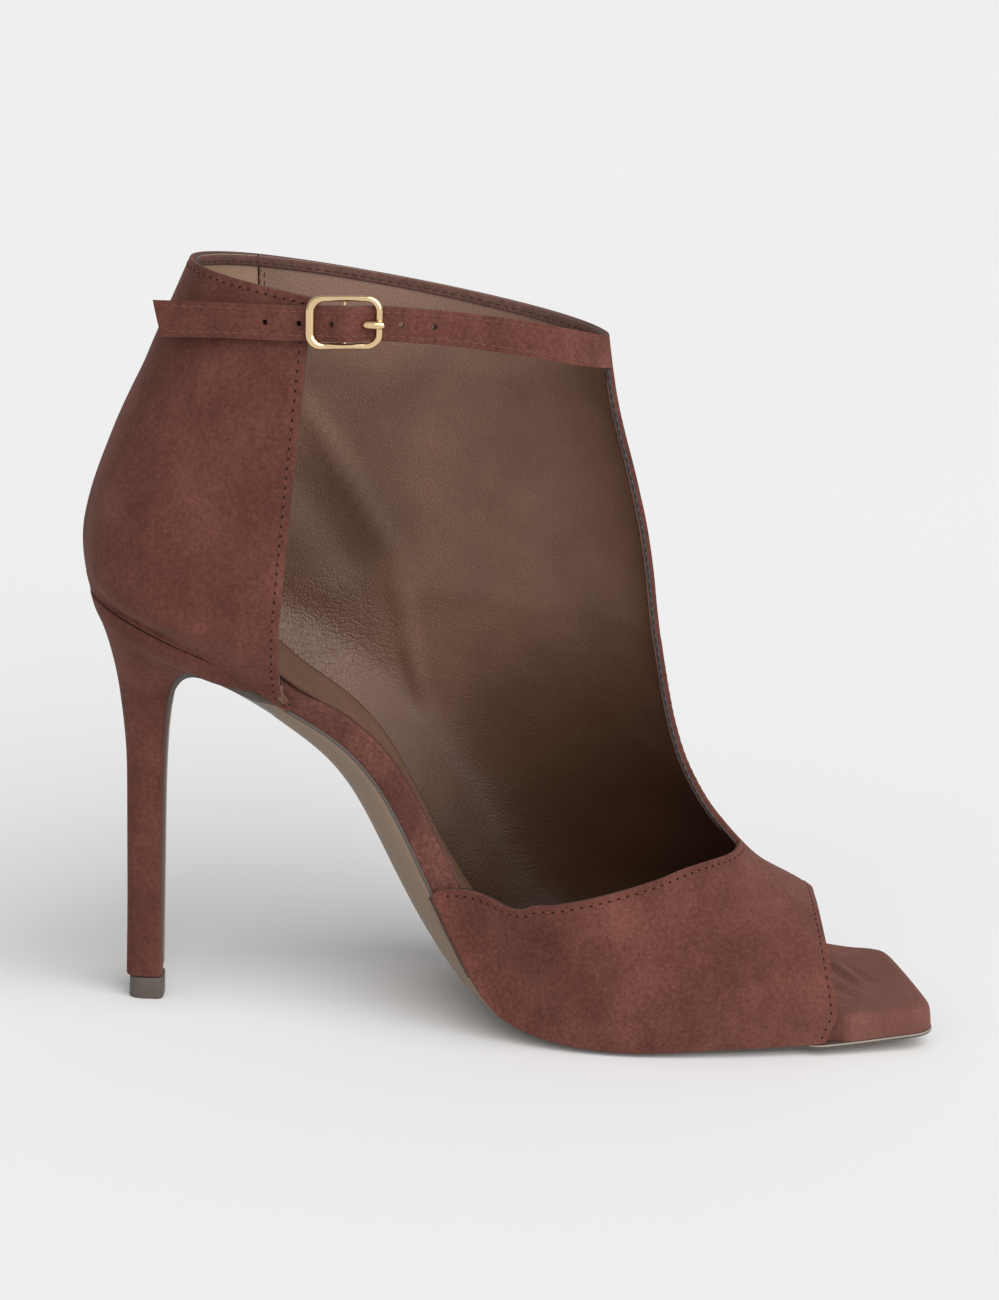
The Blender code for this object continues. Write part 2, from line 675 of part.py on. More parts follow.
def make_upper(material):
    """The hollow upper: outer side, instep, inner quarter, vamp and the strap that runs from it."""
    rows = upper_rows()
    lateral = half_rows(LATERAL, rows)
    medial = half_rows(MEDIAL, [t for t in rows if t >= VAMP_START - 1e-9])
    mesh = bmesh.new()
    add_grid(mesh, lateral, flip=False)
    add_grid(mesh, medial, flip=True)
    add_grid(mesh, quarter_rows(rows), flip=False)
    add_grid(mesh, strap_grid(), flip=True)
    bmesh.ops.remove_doubles(mesh, verts=mesh.verts, dist=2e-5)
    bmesh.ops.recalc_face_normals(mesh, faces=mesh.faces)
    upper = finish_object("upper", mesh, material)
    wall = upper.modifiers.new("wall", "SOLIDIFY")
    wall.thickness = UPPER_WALL
    wall.offset = -1
    wall.use_even_offset = False
    cut(upper, make_strap_hole_cutters())
    return upper


def across_sole(x, inset):
    """Places across the sole at x, in the same shares for each piece that lies on it."""
    medial = half_width(np.array(x), MEDIAL, inset)
    lateral = half_width(np.array(x), LATERAL, inset)
    return np.where(ACROSS < 0, ACROSS * medial, ACROSS * lateral)


def sole_ring(x, inset, low, high, edge):
    """A cross ring of the insole: square below, its upper corners rounded off."""
    lower = across_sole(x, inset)
    medial, lateral = lower[0], lower[-1]
    edge = min(edge, 0.48 * (lateral - medial))
    turn = np.linspace(0, math.pi / 2, 4)
    y = [lower]
    h = [np.full(len(lower), low)]
    y.append(lateral - edge + edge * np.cos(turn))
    h.append(high - edge + edge * np.sin(turn))
    y.append(np.linspace(lateral - edge, medial + edge, 7)[1:-1])
    h.append(np.full(5, high))
    y.append(medial + edge - edge * np.sin(turn))
    h.append(high - edge + edge * np.cos(turn))
    return sole_point(x, np.concatenate(y), np.concatenate(h))


def sole_places(start, end):
    """Places along the sole between two ends, the same for each piece, closer near heel and toe."""
    turn = np.linspace(0, math.pi, SOLE_STATIONS + 1)
    share = 0.4 * np.linspace(0, 1, SOLE_STATIONS + 1) + 0.6 * (1 - np.cos(turn)) / 2
    places = SEAT_SETBACK + (SHOE_LENGTH - SEAT_SETBACK) * share
    inner = places[(places > start + 0.0003) & (places < end - 0.0003)]
    return np.concatenate([[start], inner, [end]])


def make_insole(material):
    """The insole, which the upper wraps at the sides and which shows at the arch and the toe."""
    inset = UPPER_WALL + FIT_GAP * 1.5
    ends = SEAT_SETBACK + inset + 0.0002, SHOE_LENGTH - inset
    rings = []
    for x in sole_places(*ends):
        to_end = min(ends[1] - x, INSOLE_EDGE_RADIUS)
        fall = INSOLE_EDGE_RADIUS - math.sqrt(
            INSOLE_EDGE_RADIUS**2 - (INSOLE_EDGE_RADIUS - to_end) ** 2
        )
        high = INSOLE_THICKNESS - fall
        rings.append(sole_ring(x, inset, 0.0, high, INSOLE_EDGE_RADIUS))
    return finish_object("insole", loft(rings), material)


def breast_table():
    """The cover's inner face in the middle plane: where it leaves the sole, then the BREAST rows."""
    start = sole_point(BREAST[0][0] * SHOE_LENGTH, 0.0, -3 * FIT_GAP)[[0, 2]]
    rows = np.array(BREAST[1:]) * (SHOE_LENGTH, HEEL_RISE) + (0, OUTSOLE_THICKNESS)
    return np.concatenate([[start], rows])


BREAST_TABLE = breast_table()
BREAST_ALONG = chord_lengths(BREAST_TABLE)
BREAST_LINE = Spline(BREAST_ALONG / BREAST_ALONG[-1], BREAST_TABLE)


def cover_half_widths():
    """Half widths of the cover on the inner and the outer side, against the share of its path."""
    wing = np.array(BREAST[0][0] * SHOE_LENGTH)
    places, medial, lateral = [0.0], [half_width(wing, MEDIAL)], [half_width(wing, LATERAL)]
    samples = np.linspace(0, 1, 400)
    path = BREAST_LINE(samples)
    for row in reversed(HEEL_RINGS):
        front = np.array([row[2] * SHOE_LENGTH, row[3] * HEEL_RISE + OUTSOLE_THICKNESS])
        places.append(samples[np.argmin(np.linalg.norm(path - front, axis=1))])
        wide = row[4] * HEEL_TIP_WIDTH / 2 * COVER_WIDTH_SHARE
        medial.append(wide)
        lateral.append(wide)
    return np.array(places), np.array(medial), np.array(lateral)


def flat_ring(points_low, points_high):
    """Joins a lower and an upper line of points into one ring."""
    return np.concatenate([points_low, points_high[::-1]])


def make_outsole(material):
    """The outsole, from the toe along the sole, under the heel's wing and down its breast."""
    rings = []
    top, bottom = -FIT_GAP, -FIT_GAP - OUTSOLE_THICKNESS
    wing = BREAST[0][0] * SHOE_LENGTH
    for x in sole_places(wing, SHOE_LENGTH - OUTSOLE_INSET)[:0:-1]:
        y = across_sole(x, OUTSOLE_INSET)
        rings.append(flat_ring(sole_point(x, y, bottom), sole_point(x, y, top)))
    places, medials, laterals = cover_half_widths()
    lifts = [float(edge_lift(np.array(wing), side)) for side in (MEDIAL, LATERAL)]
    for t in np.linspace(0, 1, 28):
        point = BREAST_LINE(t)
        ahead = BREAST_LINE(min(t + 0.01, 1.0)) - BREAST_LINE(max(t - 0.01, 0.0))
        ahead /= np.linalg.norm(ahead)
        down = np.array([-ahead[1], ahead[0]])
        fade = max(0.0, 1 - t / 0.2)
        thick = HEEL_COVER_THICKNESS + (OUTSOLE_THICKNESS - HEEL_COVER_THICKNESS) * fade
        medial = np.interp(t, places, medials) - OUTSOLE_INSET
        lateral = np.interp(t, places, laterals) - OUTSOLE_INSET
        y = np.where(ACROSS < 0, ACROSS * medial, ACROSS * lateral)
        lift = np.where(ACROSS < 0, *lifts) * fade**2 * ACROSS**2
        inner = np.stack([point[0] - down[0] * lift, y, point[1] - down[1] * lift], axis=1)
        outer = inner + np.array([down[0], 0, down[1]]) * thick
        rings.append(flat_ring(outer, inner))
    return finish_object("outsole", loft(rings), material)


def heel_ring(back, front, wide, square):
    """A ring of the heel: rounded behind and flat across the breast."""
    turn = np.linspace(0, 2 * math.pi, HEEL_RING_POINTS, endpoint=False)
    cosine, sine = np.cos(turn), np.sin(turn)
    power = 1 - 0.5 * square
    along = np.sign(cosine) * np.abs(cosine) ** np.where(cosine > 0, power * 0.5, 1)
    across = np.sign(sine) * np.abs(sine) ** power
    middle = (back + front) / 2
    half = (front - back) / 2
    x = middle[0] + half[0] * along
    z = middle[1] + half[1] * along
    return np.stack([x, across * wide, z], axis=1)


def seat_ring(shrink, height):
    """A ring on the heel's seat, from its outline inwards."""
    turn = np.linspace(0, 2 * math.pi, HEEL_RING_POINTS, endpoint=False)
    cosine, sine = np.cos(turn), np.sin(turn)
    back = SEAT_SETBACK + 0.0004
    front = HEEL_WING_X * SHOE_LENGTH
    middle = (back + front) / 2
    x = middle + (front - middle) * np.sign(cosine) * np.abs(cosine) ** np.where(
        cosine > 0, 0.4, 1
    )
    outline = np.where(sine < 0, half_width(x, MEDIAL), half_width(x, LATERAL))
    full = np.clip(np.abs(sine) / np.maximum(np.sqrt(1 - np.clip(
        (middle - x) / (middle - back), 0, 1) ** 2), 1e-6), 0, 1)
    y = np.sign(sine) * np.where(cosine > 0, np.abs(sine) ** 0.4, full) * outline
    x = middle + (x - middle) * shrink
    return sole_point(x, y * shrink, height)


def make_heel(material):
    """The covered heel: a slim stem that widens into a cupped seat with a wing under the arch."""
    tip_back = HEEL_TIP_SETBACK
    tip_front = tip_back + HEEL_TIP_LENGTH - HEEL_COVER_THICKNESS - FIT_GAP
    foot = HEEL_TIP_HEIGHT + FIT_GAP
    half_tip = HEEL_TIP_WIDTH / 2
    rings = [
        heel_ring(np.array([tip_back, foot]), np.array([tip_front, foot]), half_tip, 0.9)
    ]
    for back_x, back_z, front_x, front_z, wide, square in HEEL_RINGS:
        back = np.array([back_x * SHOE_LENGTH, OUTSOLE_THICKNESS + back_z * HEEL_RISE])
        front = np.array([front_x * SHOE_LENGTH, OUTSOLE_THICKNESS + front_z * HEEL_RISE])
        rings.append(heel_ring(back, front, wide * half_tip, square))
    for shrink in (1.0, 0.9, 0.78, 0.64, 0.5, 0.34, 0.18):
        rings.append(seat_ring(shrink, -HEEL_SEAT_GAP))
    return finish_object("heel", loft(rings), material)


def make_heel_tip(material):
    """The heel tip: a block with a round back and square front corners."""
    back = np.array([HEEL_TIP_SETBACK - 0.0001, 0.0])
    front = np.array([HEEL_TIP_SETBACK + HEEL_TIP_LENGTH, 0.0])
    half_tip = HEEL_TIP_WIDTH / 2
    rings = []
    for height in (0.0, HEEL_TIP_HEIGHT):
        rise = np.array([0.0, height])
        rings.append(heel_ring(back + rise, front + rise, half_tip, 0.95))
    return finish_object("heel_tip", loft(rings), material)


def tube(path, radius, closed):
    """A round bar along a path, closed on itself or with flat ends."""
    count = len(path)
    turn = np.linspace(0, 2 * math.pi, TUBE_FACES, endpoint=False)
    rings = []
    for i in range(count):
        before = path[i - 1] if closed or i > 0 else path[i]
        after = path[(i + 1) % count] if closed or i < count - 1 else path[i]
        along = Vector(after - before).normalized()
        side = along.cross(Vector((0.05, 1, 0.02))).normalized()
        out = along.cross(side)
        ring = [Vector(path[i]) + (side * math.cos(a) + out * math.sin(a)) * radius for a in turn]
        rings.append([tuple(point) for point in ring])
    if not closed:
        return loft(rings)
    mesh = bmesh.new()
    placed = [[mesh.verts.new(point) for point in ring] for ring in rings]
    for lower, upper in zip(placed, placed[1:] + placed[:1]):
        for i in range(TUBE_FACES):
            j = (i + 1) % TUBE_FACES
            mesh.faces.new([lower[i], lower[j], upper[j], upper[i]])
    bmesh.ops.recalc_face_normals(mesh, faces=mesh.faces)
    return mesh


def frame_offset():
    """How far the buckle frame's wire lies out from the collar, over the strap at both ends."""
    over = float(strap_offset(np.array(BUCKLE_X + BUCKLE_LENGTH / 2)))
    return over + FIT_GAP + BUCKLE_WIRE / 2


def bar_offset():
    """How far the buckle's middle bar lies out from the collar, under the strap."""
    return float(strap_offset(np.array(BUCKLE_X))) - UPPER_WALL - FIT_GAP - BAR_RADIUS


def make_buckle_frame(material):
    """The buckle's frame: a rounded rectangle of wire, with a middle bar behind the strap."""
    half_long = (BUCKLE_LENGTH - BUCKLE_WIRE) / 2
    half_tall = STRAP_WIDTH / 2 + FIT_GAP * 2 + BUCKLE_WIRE / 2
    corner = BUCKLE_CORNER - BUCKLE_WIRE / 2
    path = []
    for along, up, start in ((1, 1, 0.0), (-1, 1, 0.5), (-1, -1, 1.0), (1, -1, 1.5)):
        for turn in np.linspace(0, math.pi / 2, 6) + start * math.pi:
            a = along * (half_long - corner) + corner * math.cos(turn)
            u = up * (half_tall - corner) + corner * math.sin(turn)
            path.append(beside_collar(BUCKLE_X + a, frame_offset(), STRAP_WIDTH / 2 - u))
    frame = finish_object("buckle_frame", tube(path, BUCKLE_WIRE / 2, True), material)
    ends = [(frame_offset(), 1.0), (bar_offset(), 0.86), (bar_offset(), -0.86)]
    ends.append((frame_offset(), -1.0))
    places = [
        beside_collar(BUCKLE_X, offset, STRAP_WIDTH / 2 - half_tall * up) for offset, up in ends
    ]
    bar = finish_object("buckle_bar", tube(places, BAR_RADIUS, False), material)
    bar.hide_render = True
    bar.display_type = "WIRE"
    joined = frame.modifiers.new("bar", "BOOLEAN")
    joined.operation = "UNION"
    joined.object = bar
    return frame


def make_prong(material):
    """The prong: behind the strap at the middle bar, out through a hole and onto the frame."""
    under = bar_offset() - BAR_RADIUS - FIT_GAP - PRONG_RADIUS
    strap = float(strap_offset(np.array(BUCKLE_X + PRONG_HOLE_AHEAD)))
    over = frame_offset() + BUCKLE_WIRE / 2 + FIT_GAP + PRONG_RADIUS
    hole = PRONG_HOLE_AHEAD
    tip = BUCKLE_LENGTH / 2 + PRONG_RADIUS * 0.4
    stops = [
        (-BAR_RADIUS, under),
        (hole * 0.5, min(under, strap - UPPER_WALL - PRONG_RADIUS) - FIT_GAP * 2),
        (hole - PRONG_RADIUS * 0.3, strap - UPPER_WALL - PRONG_RADIUS),
        (hole, strap - UPPER_WALL / 2),
        (hole + PRONG_RADIUS * 0.3, strap + PRONG_RADIUS),
        (hole + PRONG_RADIUS * 2.4, over),
        (tip, over),
    ]
    path = [beside_collar(BUCKLE_X + a, offset, STRAP_WIDTH / 2) for a, offset in stops]
    return finish_object("buckle_prong", tube(path, PRONG_RADIUS, False), material)


def make_elastic(material):
    """The elastic that holds the buckle: from inside the counter to behind the middle bar."""
    inside = -UPPER_WALL - FIT_GAP - ELASTIC_THICKNESS / 2
    at_bar = bar_offset() - BAR_RADIUS - FIT_GAP * 2 - PRONG_RADIUS * 2 - ELASTIC_THICKNESS
    edge = QUARTER_LINE(ridge_at(0.0)[2])[0]
    back = edge - ELASTIC_TUCK
    front = BUCKLE_X - BAR_RADIUS * 2
    rings = []
    for x in np.concatenate([np.linspace(back, edge, 5), np.linspace(edge, front, 8)[1:]]):
        share = min(max((x - edge - 0.001) / (front - edge - 0.001), 0.0), 1.0)
        offset = inside + (at_bar - inside) * share
        ring = []
        for up, out in ((1, 0.5), (-1, 0.5), (-1, -0.5), (1, -0.5)):
            down = (STRAP_WIDTH - up * ELASTIC_WIDTH) / 2
            ring.append(beside_collar(x, offset + out * ELASTIC_THICKNESS, down))
        rings.append(ring)
    return finish_object("elastic_loop", loft(rings), material)


def main():
    """Clears the scene and builds every piece."""
    for found in list(bpy.data.objects):
        bpy.data.objects.remove(found)
    suede = make_material("suede", (0.142, 0.055, 0.043), 0.95)
    insole = make_material("insole_suede", (0.150, 0.062, 0.048), 0.9)
    sole = make_material("sole_brown", (0.160, 0.117, 0.086), 0.55)
    tip = make_material("tip_grey_brown", (0.115, 0.092, 0.085), 0.5)
    make_upper(suede)
    make_insole(insole)
    make_outsole(sole)
    make_heel(suede)
    make_heel_tip(tip)
    gold = make_material("pale_gold", (0.80, 0.62, 0.36), 0.22, metallic=1.0)
    elastic = make_material("elastic_brown", (0.22, 0.11, 0.08), 0.85)
    make_buckle_frame(gold)
    make_prong(gold)
    make_elastic(elastic)


main()
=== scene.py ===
"""Looks of a left heeled sandal: suede upper, leather lining, strap, buckle, sole and covered heel.

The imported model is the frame. Shapes are worked out in shoe coordinates, in metres, with X from
the heel's rearmost point to the toe, and moved onto the frame's origin when a piece is finished.
"""

import logging
import math
from dataclasses import dataclass, field
from enum import Enum
from typing import Optional, Sequence, Union

import bmesh
import bpy
import numpy as np
from bmesh.types import BMesh, BMVert
from bpy.types import Material, NodeSocket, Object
from mathutils import Matrix, Vector, noise
from mathutils.kdtree import KDTree


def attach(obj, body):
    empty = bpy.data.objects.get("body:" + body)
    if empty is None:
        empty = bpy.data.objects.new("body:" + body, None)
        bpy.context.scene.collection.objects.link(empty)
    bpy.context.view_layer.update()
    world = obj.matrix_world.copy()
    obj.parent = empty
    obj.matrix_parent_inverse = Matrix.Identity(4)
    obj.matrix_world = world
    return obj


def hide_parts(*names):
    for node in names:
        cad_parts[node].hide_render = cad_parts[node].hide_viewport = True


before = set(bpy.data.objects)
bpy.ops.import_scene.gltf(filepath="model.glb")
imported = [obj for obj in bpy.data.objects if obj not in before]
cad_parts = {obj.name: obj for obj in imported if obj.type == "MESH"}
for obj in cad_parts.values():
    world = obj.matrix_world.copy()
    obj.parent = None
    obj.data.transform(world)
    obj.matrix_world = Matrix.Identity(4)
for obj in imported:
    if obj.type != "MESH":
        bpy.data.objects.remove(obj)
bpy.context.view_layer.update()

MM = 0.001
log = logging.getLogger("heeled_sandal")
Array = np.ndarray
Colour = tuple[float, float, float]


class Side(Enum):
    """The two sides of a left foot, by the sign of y."""

    INNER = -1
    OUTER = 1


class Spline:
    """The smoothest cubic curve through its knots, straight on past either end."""

    def __init__(self, knots: Sequence[float], values: Array) -> None:
        """Solves for the curve's bend at each knot.

        Args:
            knots: Rising places along the curve.
            values: One row of numbers for each knot.
        """
        self.knots = np.asarray(knots, float)
        self.values = np.asarray(values, float).reshape(len(self.knots), -1)
        step = np.diff(self.knots)
        system = np.eye(len(self.knots))
        change = np.zeros_like(self.values)
        for i in range(1, len(self.knots) - 1):
            system[i, i - 1 : i + 2] = step[i - 1], 2 * (step[i - 1] + step[i]), step[i]
            after = (self.values[i + 1] - self.values[i]) / step[i]
            change[i] = 6 * (after - (self.values[i] - self.values[i - 1]) / step[i - 1])
        self.bend = np.linalg.solve(system, change)

    def __call__(self, at: Union[float, Array]) -> Array:
        """The curve's values at places along it, on a last axis of their own."""
        at = np.asarray(at, float)
        inside = np.clip(at, self.knots[0], self.knots[-1])
        i = np.clip(np.searchsorted(self.knots, inside) - 1, 0, len(self.knots) - 2)
        width = (self.knots[i + 1] - self.knots[i])[..., None]
        a = (self.knots[i + 1] - inside)[..., None] / width
        b = 1 - a
        low, high = self.bend[i], self.bend[i + 1]
        found = a * self.values[i] + b * self.values[i + 1]
        found = found + ((a**3 - a) * low + (b**3 - b) * high) * width**2 / 6
        slope = (self.values[i + 1] - self.values[i]) / width
        slope = slope + ((3 * b**2 - 1) * high - (3 * a**2 - 1) * low) * width / 6
        return found + slope * (at - inside)[..., None]


def chord_lengths(points: Array) -> Array:
    """Distance along a line of points, from 0."""
    steps = np.linalg.norm(np.diff(points, axis=0), axis=1)
    return np.concatenate([[0.0], np.cumsum(steps)])


def resampled(points: Array, places: Array) -> Array:
    """Points at given distances along a line of points."""
    along = chord_lengths(points)
    return np.stack([np.interp(places, along, points[:, k]) for k in range(3)], axis=1)


def bezier(p0: Array, p1: Array, p2: Array, p3: Array, s: Array) -> Array:
    """Points of cubic curves, one for each place s along them."""
    s = s[..., None]
    return (1 - s) ** 3 * p0 + 3 * (1 - s) ** 2 * s * p1 + 3 * (1 - s) * s**2 * p2 + s**3 * p3


def smooth_step(share: Array) -> Array:
    """Rises from 0 to 1 with level ends."""
    share = np.clip(share, 0, 1)
    return share**2 * (3 - 2 * share)


def window(x: Array, rise: tuple[float, float], fall: tuple[float, float]) -> Array:
    """1 in a stretch and 0 outside it, with soft ends.

    Args:
        x: Places along the shoe.
        rise: Where it leaves 0, and over what length it rises.
        fall: Where it is back at 0, and over what length it falls.

    Returns:
        A number from 0 to 1 for each place.
    """
    return smooth_step((x - rise[0]) / rise[1]) * smooth_step((fall[0] - x) / fall[1])


def crowded(start: float, end: float, count: int, share: float) -> Array:
    """Places from start to end that lie closer together near both ends, by share."""
    even = np.linspace(0, 1, count)
    eased = (1 - np.cos(np.linspace(0, math.pi, count))) / 2
    return start + (end - start) * ((1 - share) * even + share * eased)


def signed_power(value: Array, power: Union[float, Array]) -> Array:
    """A power of a value's size, with the value's sign."""
    return np.sign(value) * np.abs(value) ** power


def spanned(across: Array, inner: Array, outer: Array) -> Array:
    """Places across the shoe, from shares of its inner and outer half width."""
    return np.where(across < 0, across * inner, across * outer)


def circle(count: int) -> tuple[Array, Array]:
    """Cosine and sine at even steps round a circle."""
    turn = np.linspace(0, 2 * math.pi, count, endpoint=False)
    return np.cos(turn), np.sin(turn)


def unit(vectors: Array) -> Array:
    """Rows of vectors, each brought to length 1."""
    return vectors / np.linalg.norm(vectors, axis=1)[:, None]


@dataclass
class Last:
    """The last's sizes and tables, and the surfaces that follow from them."""

    length: float = 0.232
    ball_width: float = 0.083
    heel_rise: float = 0.1115
    shaft_height: float = 0.089
    outsole_thickness: float = 0.0022
    fit_gap: float = 0.0003
    seat_radius: float = 0.026
    seat_setback: float = 0.003
    toe_corner: float = 0.0065
    toe_skewed: float = 0.0090
    skew_from: float = 0.75
    tip_setback: float = 0.0140
    tip_length: float = 0.0094
    # x, rise, half width inside and outside, how far each edge turns up
    sole: tuple = (
        (0.013, 1.000, 0.615, 0.615, 0.030, 0.030),
        (0.073, 0.942, 0.615, 0.615, 0.035, 0.030),
        (0.121, 0.892, 0.608, 0.612, 0.050, 0.030),
        (0.172, 0.828, 0.575, 0.600, 0.090, 0.028),
        (0.228, 0.730, 0.520, 0.585, 0.140, 0.026),
        (0.280, 0.646, 0.472, 0.570, 0.180, 0.026),
        (0.330, 0.526, 0.450, 0.575, 0.200, 0.026),
        (0.380, 0.332, 0.470, 0.615, 0.195, 0.026),
        (0.425, 0.170, 0.545, 0.695, 0.165, 0.020),
        (0.475, 0.050, 0.670, 0.800, 0.100, 0.012),
        (0.530, 0.009, 0.790, 0.895, 0.040, 0.004),
        (0.590, 0.000, 0.870, 0.955, 0.008, 0.000),
        (0.660, 0.000, 0.905, 0.965, 0.000, 0.000),
        (0.740, 0.000, 0.885, 0.905, 0.000, 0.000),
        (0.820, 0.004, 0.825, 0.815, 0.000, 0.000),
        (0.900, 0.013, 0.735, 0.705, 0.000, 0.000),
        (0.955, 0.021, 0.655, 0.610, 0.000, 0.000),
        (1.000, 0.028, 0.590, 0.540, 0.000, 0.000),
    )
    # ridge x and z, back x and z, half widths, widest at, front, back, fill
    back_sections: tuple = (
        (0.5925, 0.9175, 0.1207, 1.0000, 0.745, 0.750, 0.500, 0.560, 0.620, 0.600),
        (0.6043, 0.8410, 0.0770, 0.8810, 0.728, 0.738, 0.535, 0.540, 0.620, 0.640),
        (0.6258, 0.7540, 0.0300, 0.7540, 0.728, 0.742, 0.575, 0.510, 0.640, 0.680),
        (0.6520, 0.6350, 0.0040, 0.6270, 0.752, 0.768, 0.615, 0.490, 0.700, 0.760),
        (0.6632, 0.5480, 0.0130, 0.5600, 0.758, 0.776, 0.630, 0.485, 0.760, 0.790),
    )
    # ridge x and z, base x, half widths, widest at, front, back, fill, lean in degrees
    sole_sections: tuple = (
        (0.6697, 0.5060, 0.1250, 0.756, 0.782, 0.635, 0.480, 0.420, 0.460, 10.0),
        (0.6840, 0.4230, 0.2330, 0.765, 0.830, 0.625, 0.465, 0.460, 0.440, 16.0),
        (0.7158, 0.3280, 0.3300, 0.820, 0.925, 0.620, 0.470, 0.560, 0.500, 20.0),
        (0.7625, 0.2540, 0.4180, 0.890, 0.985, 0.640, 0.500, 0.560, 0.500, 20.0),
        (0.7980, 0.2130, 0.5080, 0.935, 1.010, 0.640, 0.540, 0.560, 0.500, 16.0),
        (0.8260, 0.1930, 0.6200, 0.945, 1.010, 0.600, 0.590, 0.560, 0.500, 10.0),
        (0.8450, 0.1800, 0.7370, 0.915, 0.945, 0.560, 0.620, 0.560, 0.500, 7.0),
        (0.8620, 0.1680, 0.8620, 0.830, 0.820, 0.560, 0.640, 0.560, 0.500, 5.0),
        (0.8780, 0.1560, 0.9400, 0.720, 0.700, 0.560, 0.640, 0.560, 0.500, 5.0),
    )

    def __post_init__(self) -> None:
        """Turns the tables of shares into curves in metres."""
        self.top = self.outsole_thickness + self.heel_rise + self.shaft_height
        self.half = self.ball_width / 2
        self.origin = Vector((self.tip_setback + self.tip_length / 2, 0.0, 0.0))
        sole = np.array(self.sole)
        places = sole[:, 0] * self.length
        self.rises = Spline(places, sole[:, 1] * self.heel_rise)
        self.halves = Spline(places, sole[:, 2:4] * self.half)
        self.lifts = Spline(places, sole[:, 4:6] * self.half)
        run = self.length - self.seat_setback
        x = self.seat_setback + run * np.linspace(0, 1, 1500) ** 2
        wide = (self.half_width(x, Side.INNER) + self.half_width(x, Side.OUTER)) / 2
        self.outline_x = x
        self.outline_run = chord_lengths(np.stack([x, wide, self.sole_height(x)], axis=1))
        self._join_sections()

    def _join_sections(self) -> None:
        """Makes one run of sections out of the two tables, from the collar to the toe."""
        back, front = np.array(self.back_sections), np.array(self.sole_sections)
        down = back[:, 2:4] * (self.length, self.top)
        down[-1] = self.seat_setback, self.sole_point(self.seat_setback, 0.0, self.fit_gap)[2]
        ridge = np.concatenate([back[:, :2], front[:, :2]]) * (self.length, self.top)
        run = np.interp(front[:, 2] * self.length, self.outline_x, self.outline_run)
        fallen = chord_lengths(down)
        along = (chord_lengths(ridge) + np.concatenate([fallen, fallen[-1] + run])) / 2
        along = along / along[-1]
        shape = np.concatenate([back[:, 4:10], front[:, 3:9]])
        shape[:, :2] *= self.half
        last = len(back) - 1
        self.second_station = along[1]
        self.seat_station = along[last]
        self.ridges = Spline(along, ridge)
        self.backs = Spline(along[: last + 1], down)
        self.bases = Spline(along[last:], np.concatenate([[0.0], run]))
        self.shapes = Spline(along, shape)
        leans = np.concatenate([np.full(last + 1, front[0, 9]), front[:, 9]])
        self.leans = Spline(along, np.radians(leans))

    def sole_height(self, x: Array) -> Array:
        """Height of the sole's top surface along its middle, level under the ball."""
        return self.outsole_thickness + self.fit_gap + np.maximum(self.rises(x)[..., 0], 0)

    def half_width(self, x: Array, side: Side, inset: float = 0.0) -> Array:
        """Half width of the sole's outline on one side, brought in by inset all round."""
        wide = self.halves(x)[..., 0 if side is Side.INNER else 1] - inset
        from_back = np.clip((x - self.seat_setback - inset) / self.seat_radius, 0, 1)
        wide = wide * np.sqrt(1 - (1 - from_back) ** 2)
        corner = self.toe_corner
        from_front = np.clip(self.length - inset - x, 0, corner)
        return wide - (corner - np.sqrt(corner**2 - (corner - from_front) ** 2))

    def sole_point(self, x: Array, y: Array, height: Array) -> Array:
        """Points at a height above the sole's top surface, at x along it and y across it."""
        x, y, height = np.broadcast_arrays(*(np.asarray(v, float) for v in (x, y, height)))
        reach = self.length / 2000
        slope = (self.sole_height(x + reach) - self.sole_height(x - reach)) / (2 * reach)
        size = np.sqrt(1 + slope**2)
        halves, lifts = self.halves(x), self.lifts(x)
        inner = y < 0
        across = y / np.where(inner, halves[..., 0], halves[..., 1])
        out = height + np.where(inner, lifts[..., 0], lifts[..., 1]) * across**2
        near_toe = smooth_step((x / self.length - self.skew_from) / (1 - self.skew_from))
        skew = self.toe_skewed * near_toe * np.clip(0.5 + y / (1.2 * self.half), 0, 1)
        return np.stack([x - slope / size * out - skew, y, self.sole_height(x) + out / size], axis=-1)

    def base_x(self, station: Array) -> Array:
        """Where a section that stands on the sole meets it, along the shoe."""
        return np.interp(self.bases(station)[..., 0], self.outline_run, self.outline_x)

    def station_of_base(self, x: float) -> float:
        """The station whose section meets the sole at x."""
        stations = np.linspace(self.seat_station, 1, 1601)
        return float(np.interp(x, self.base_x(stations), stations))

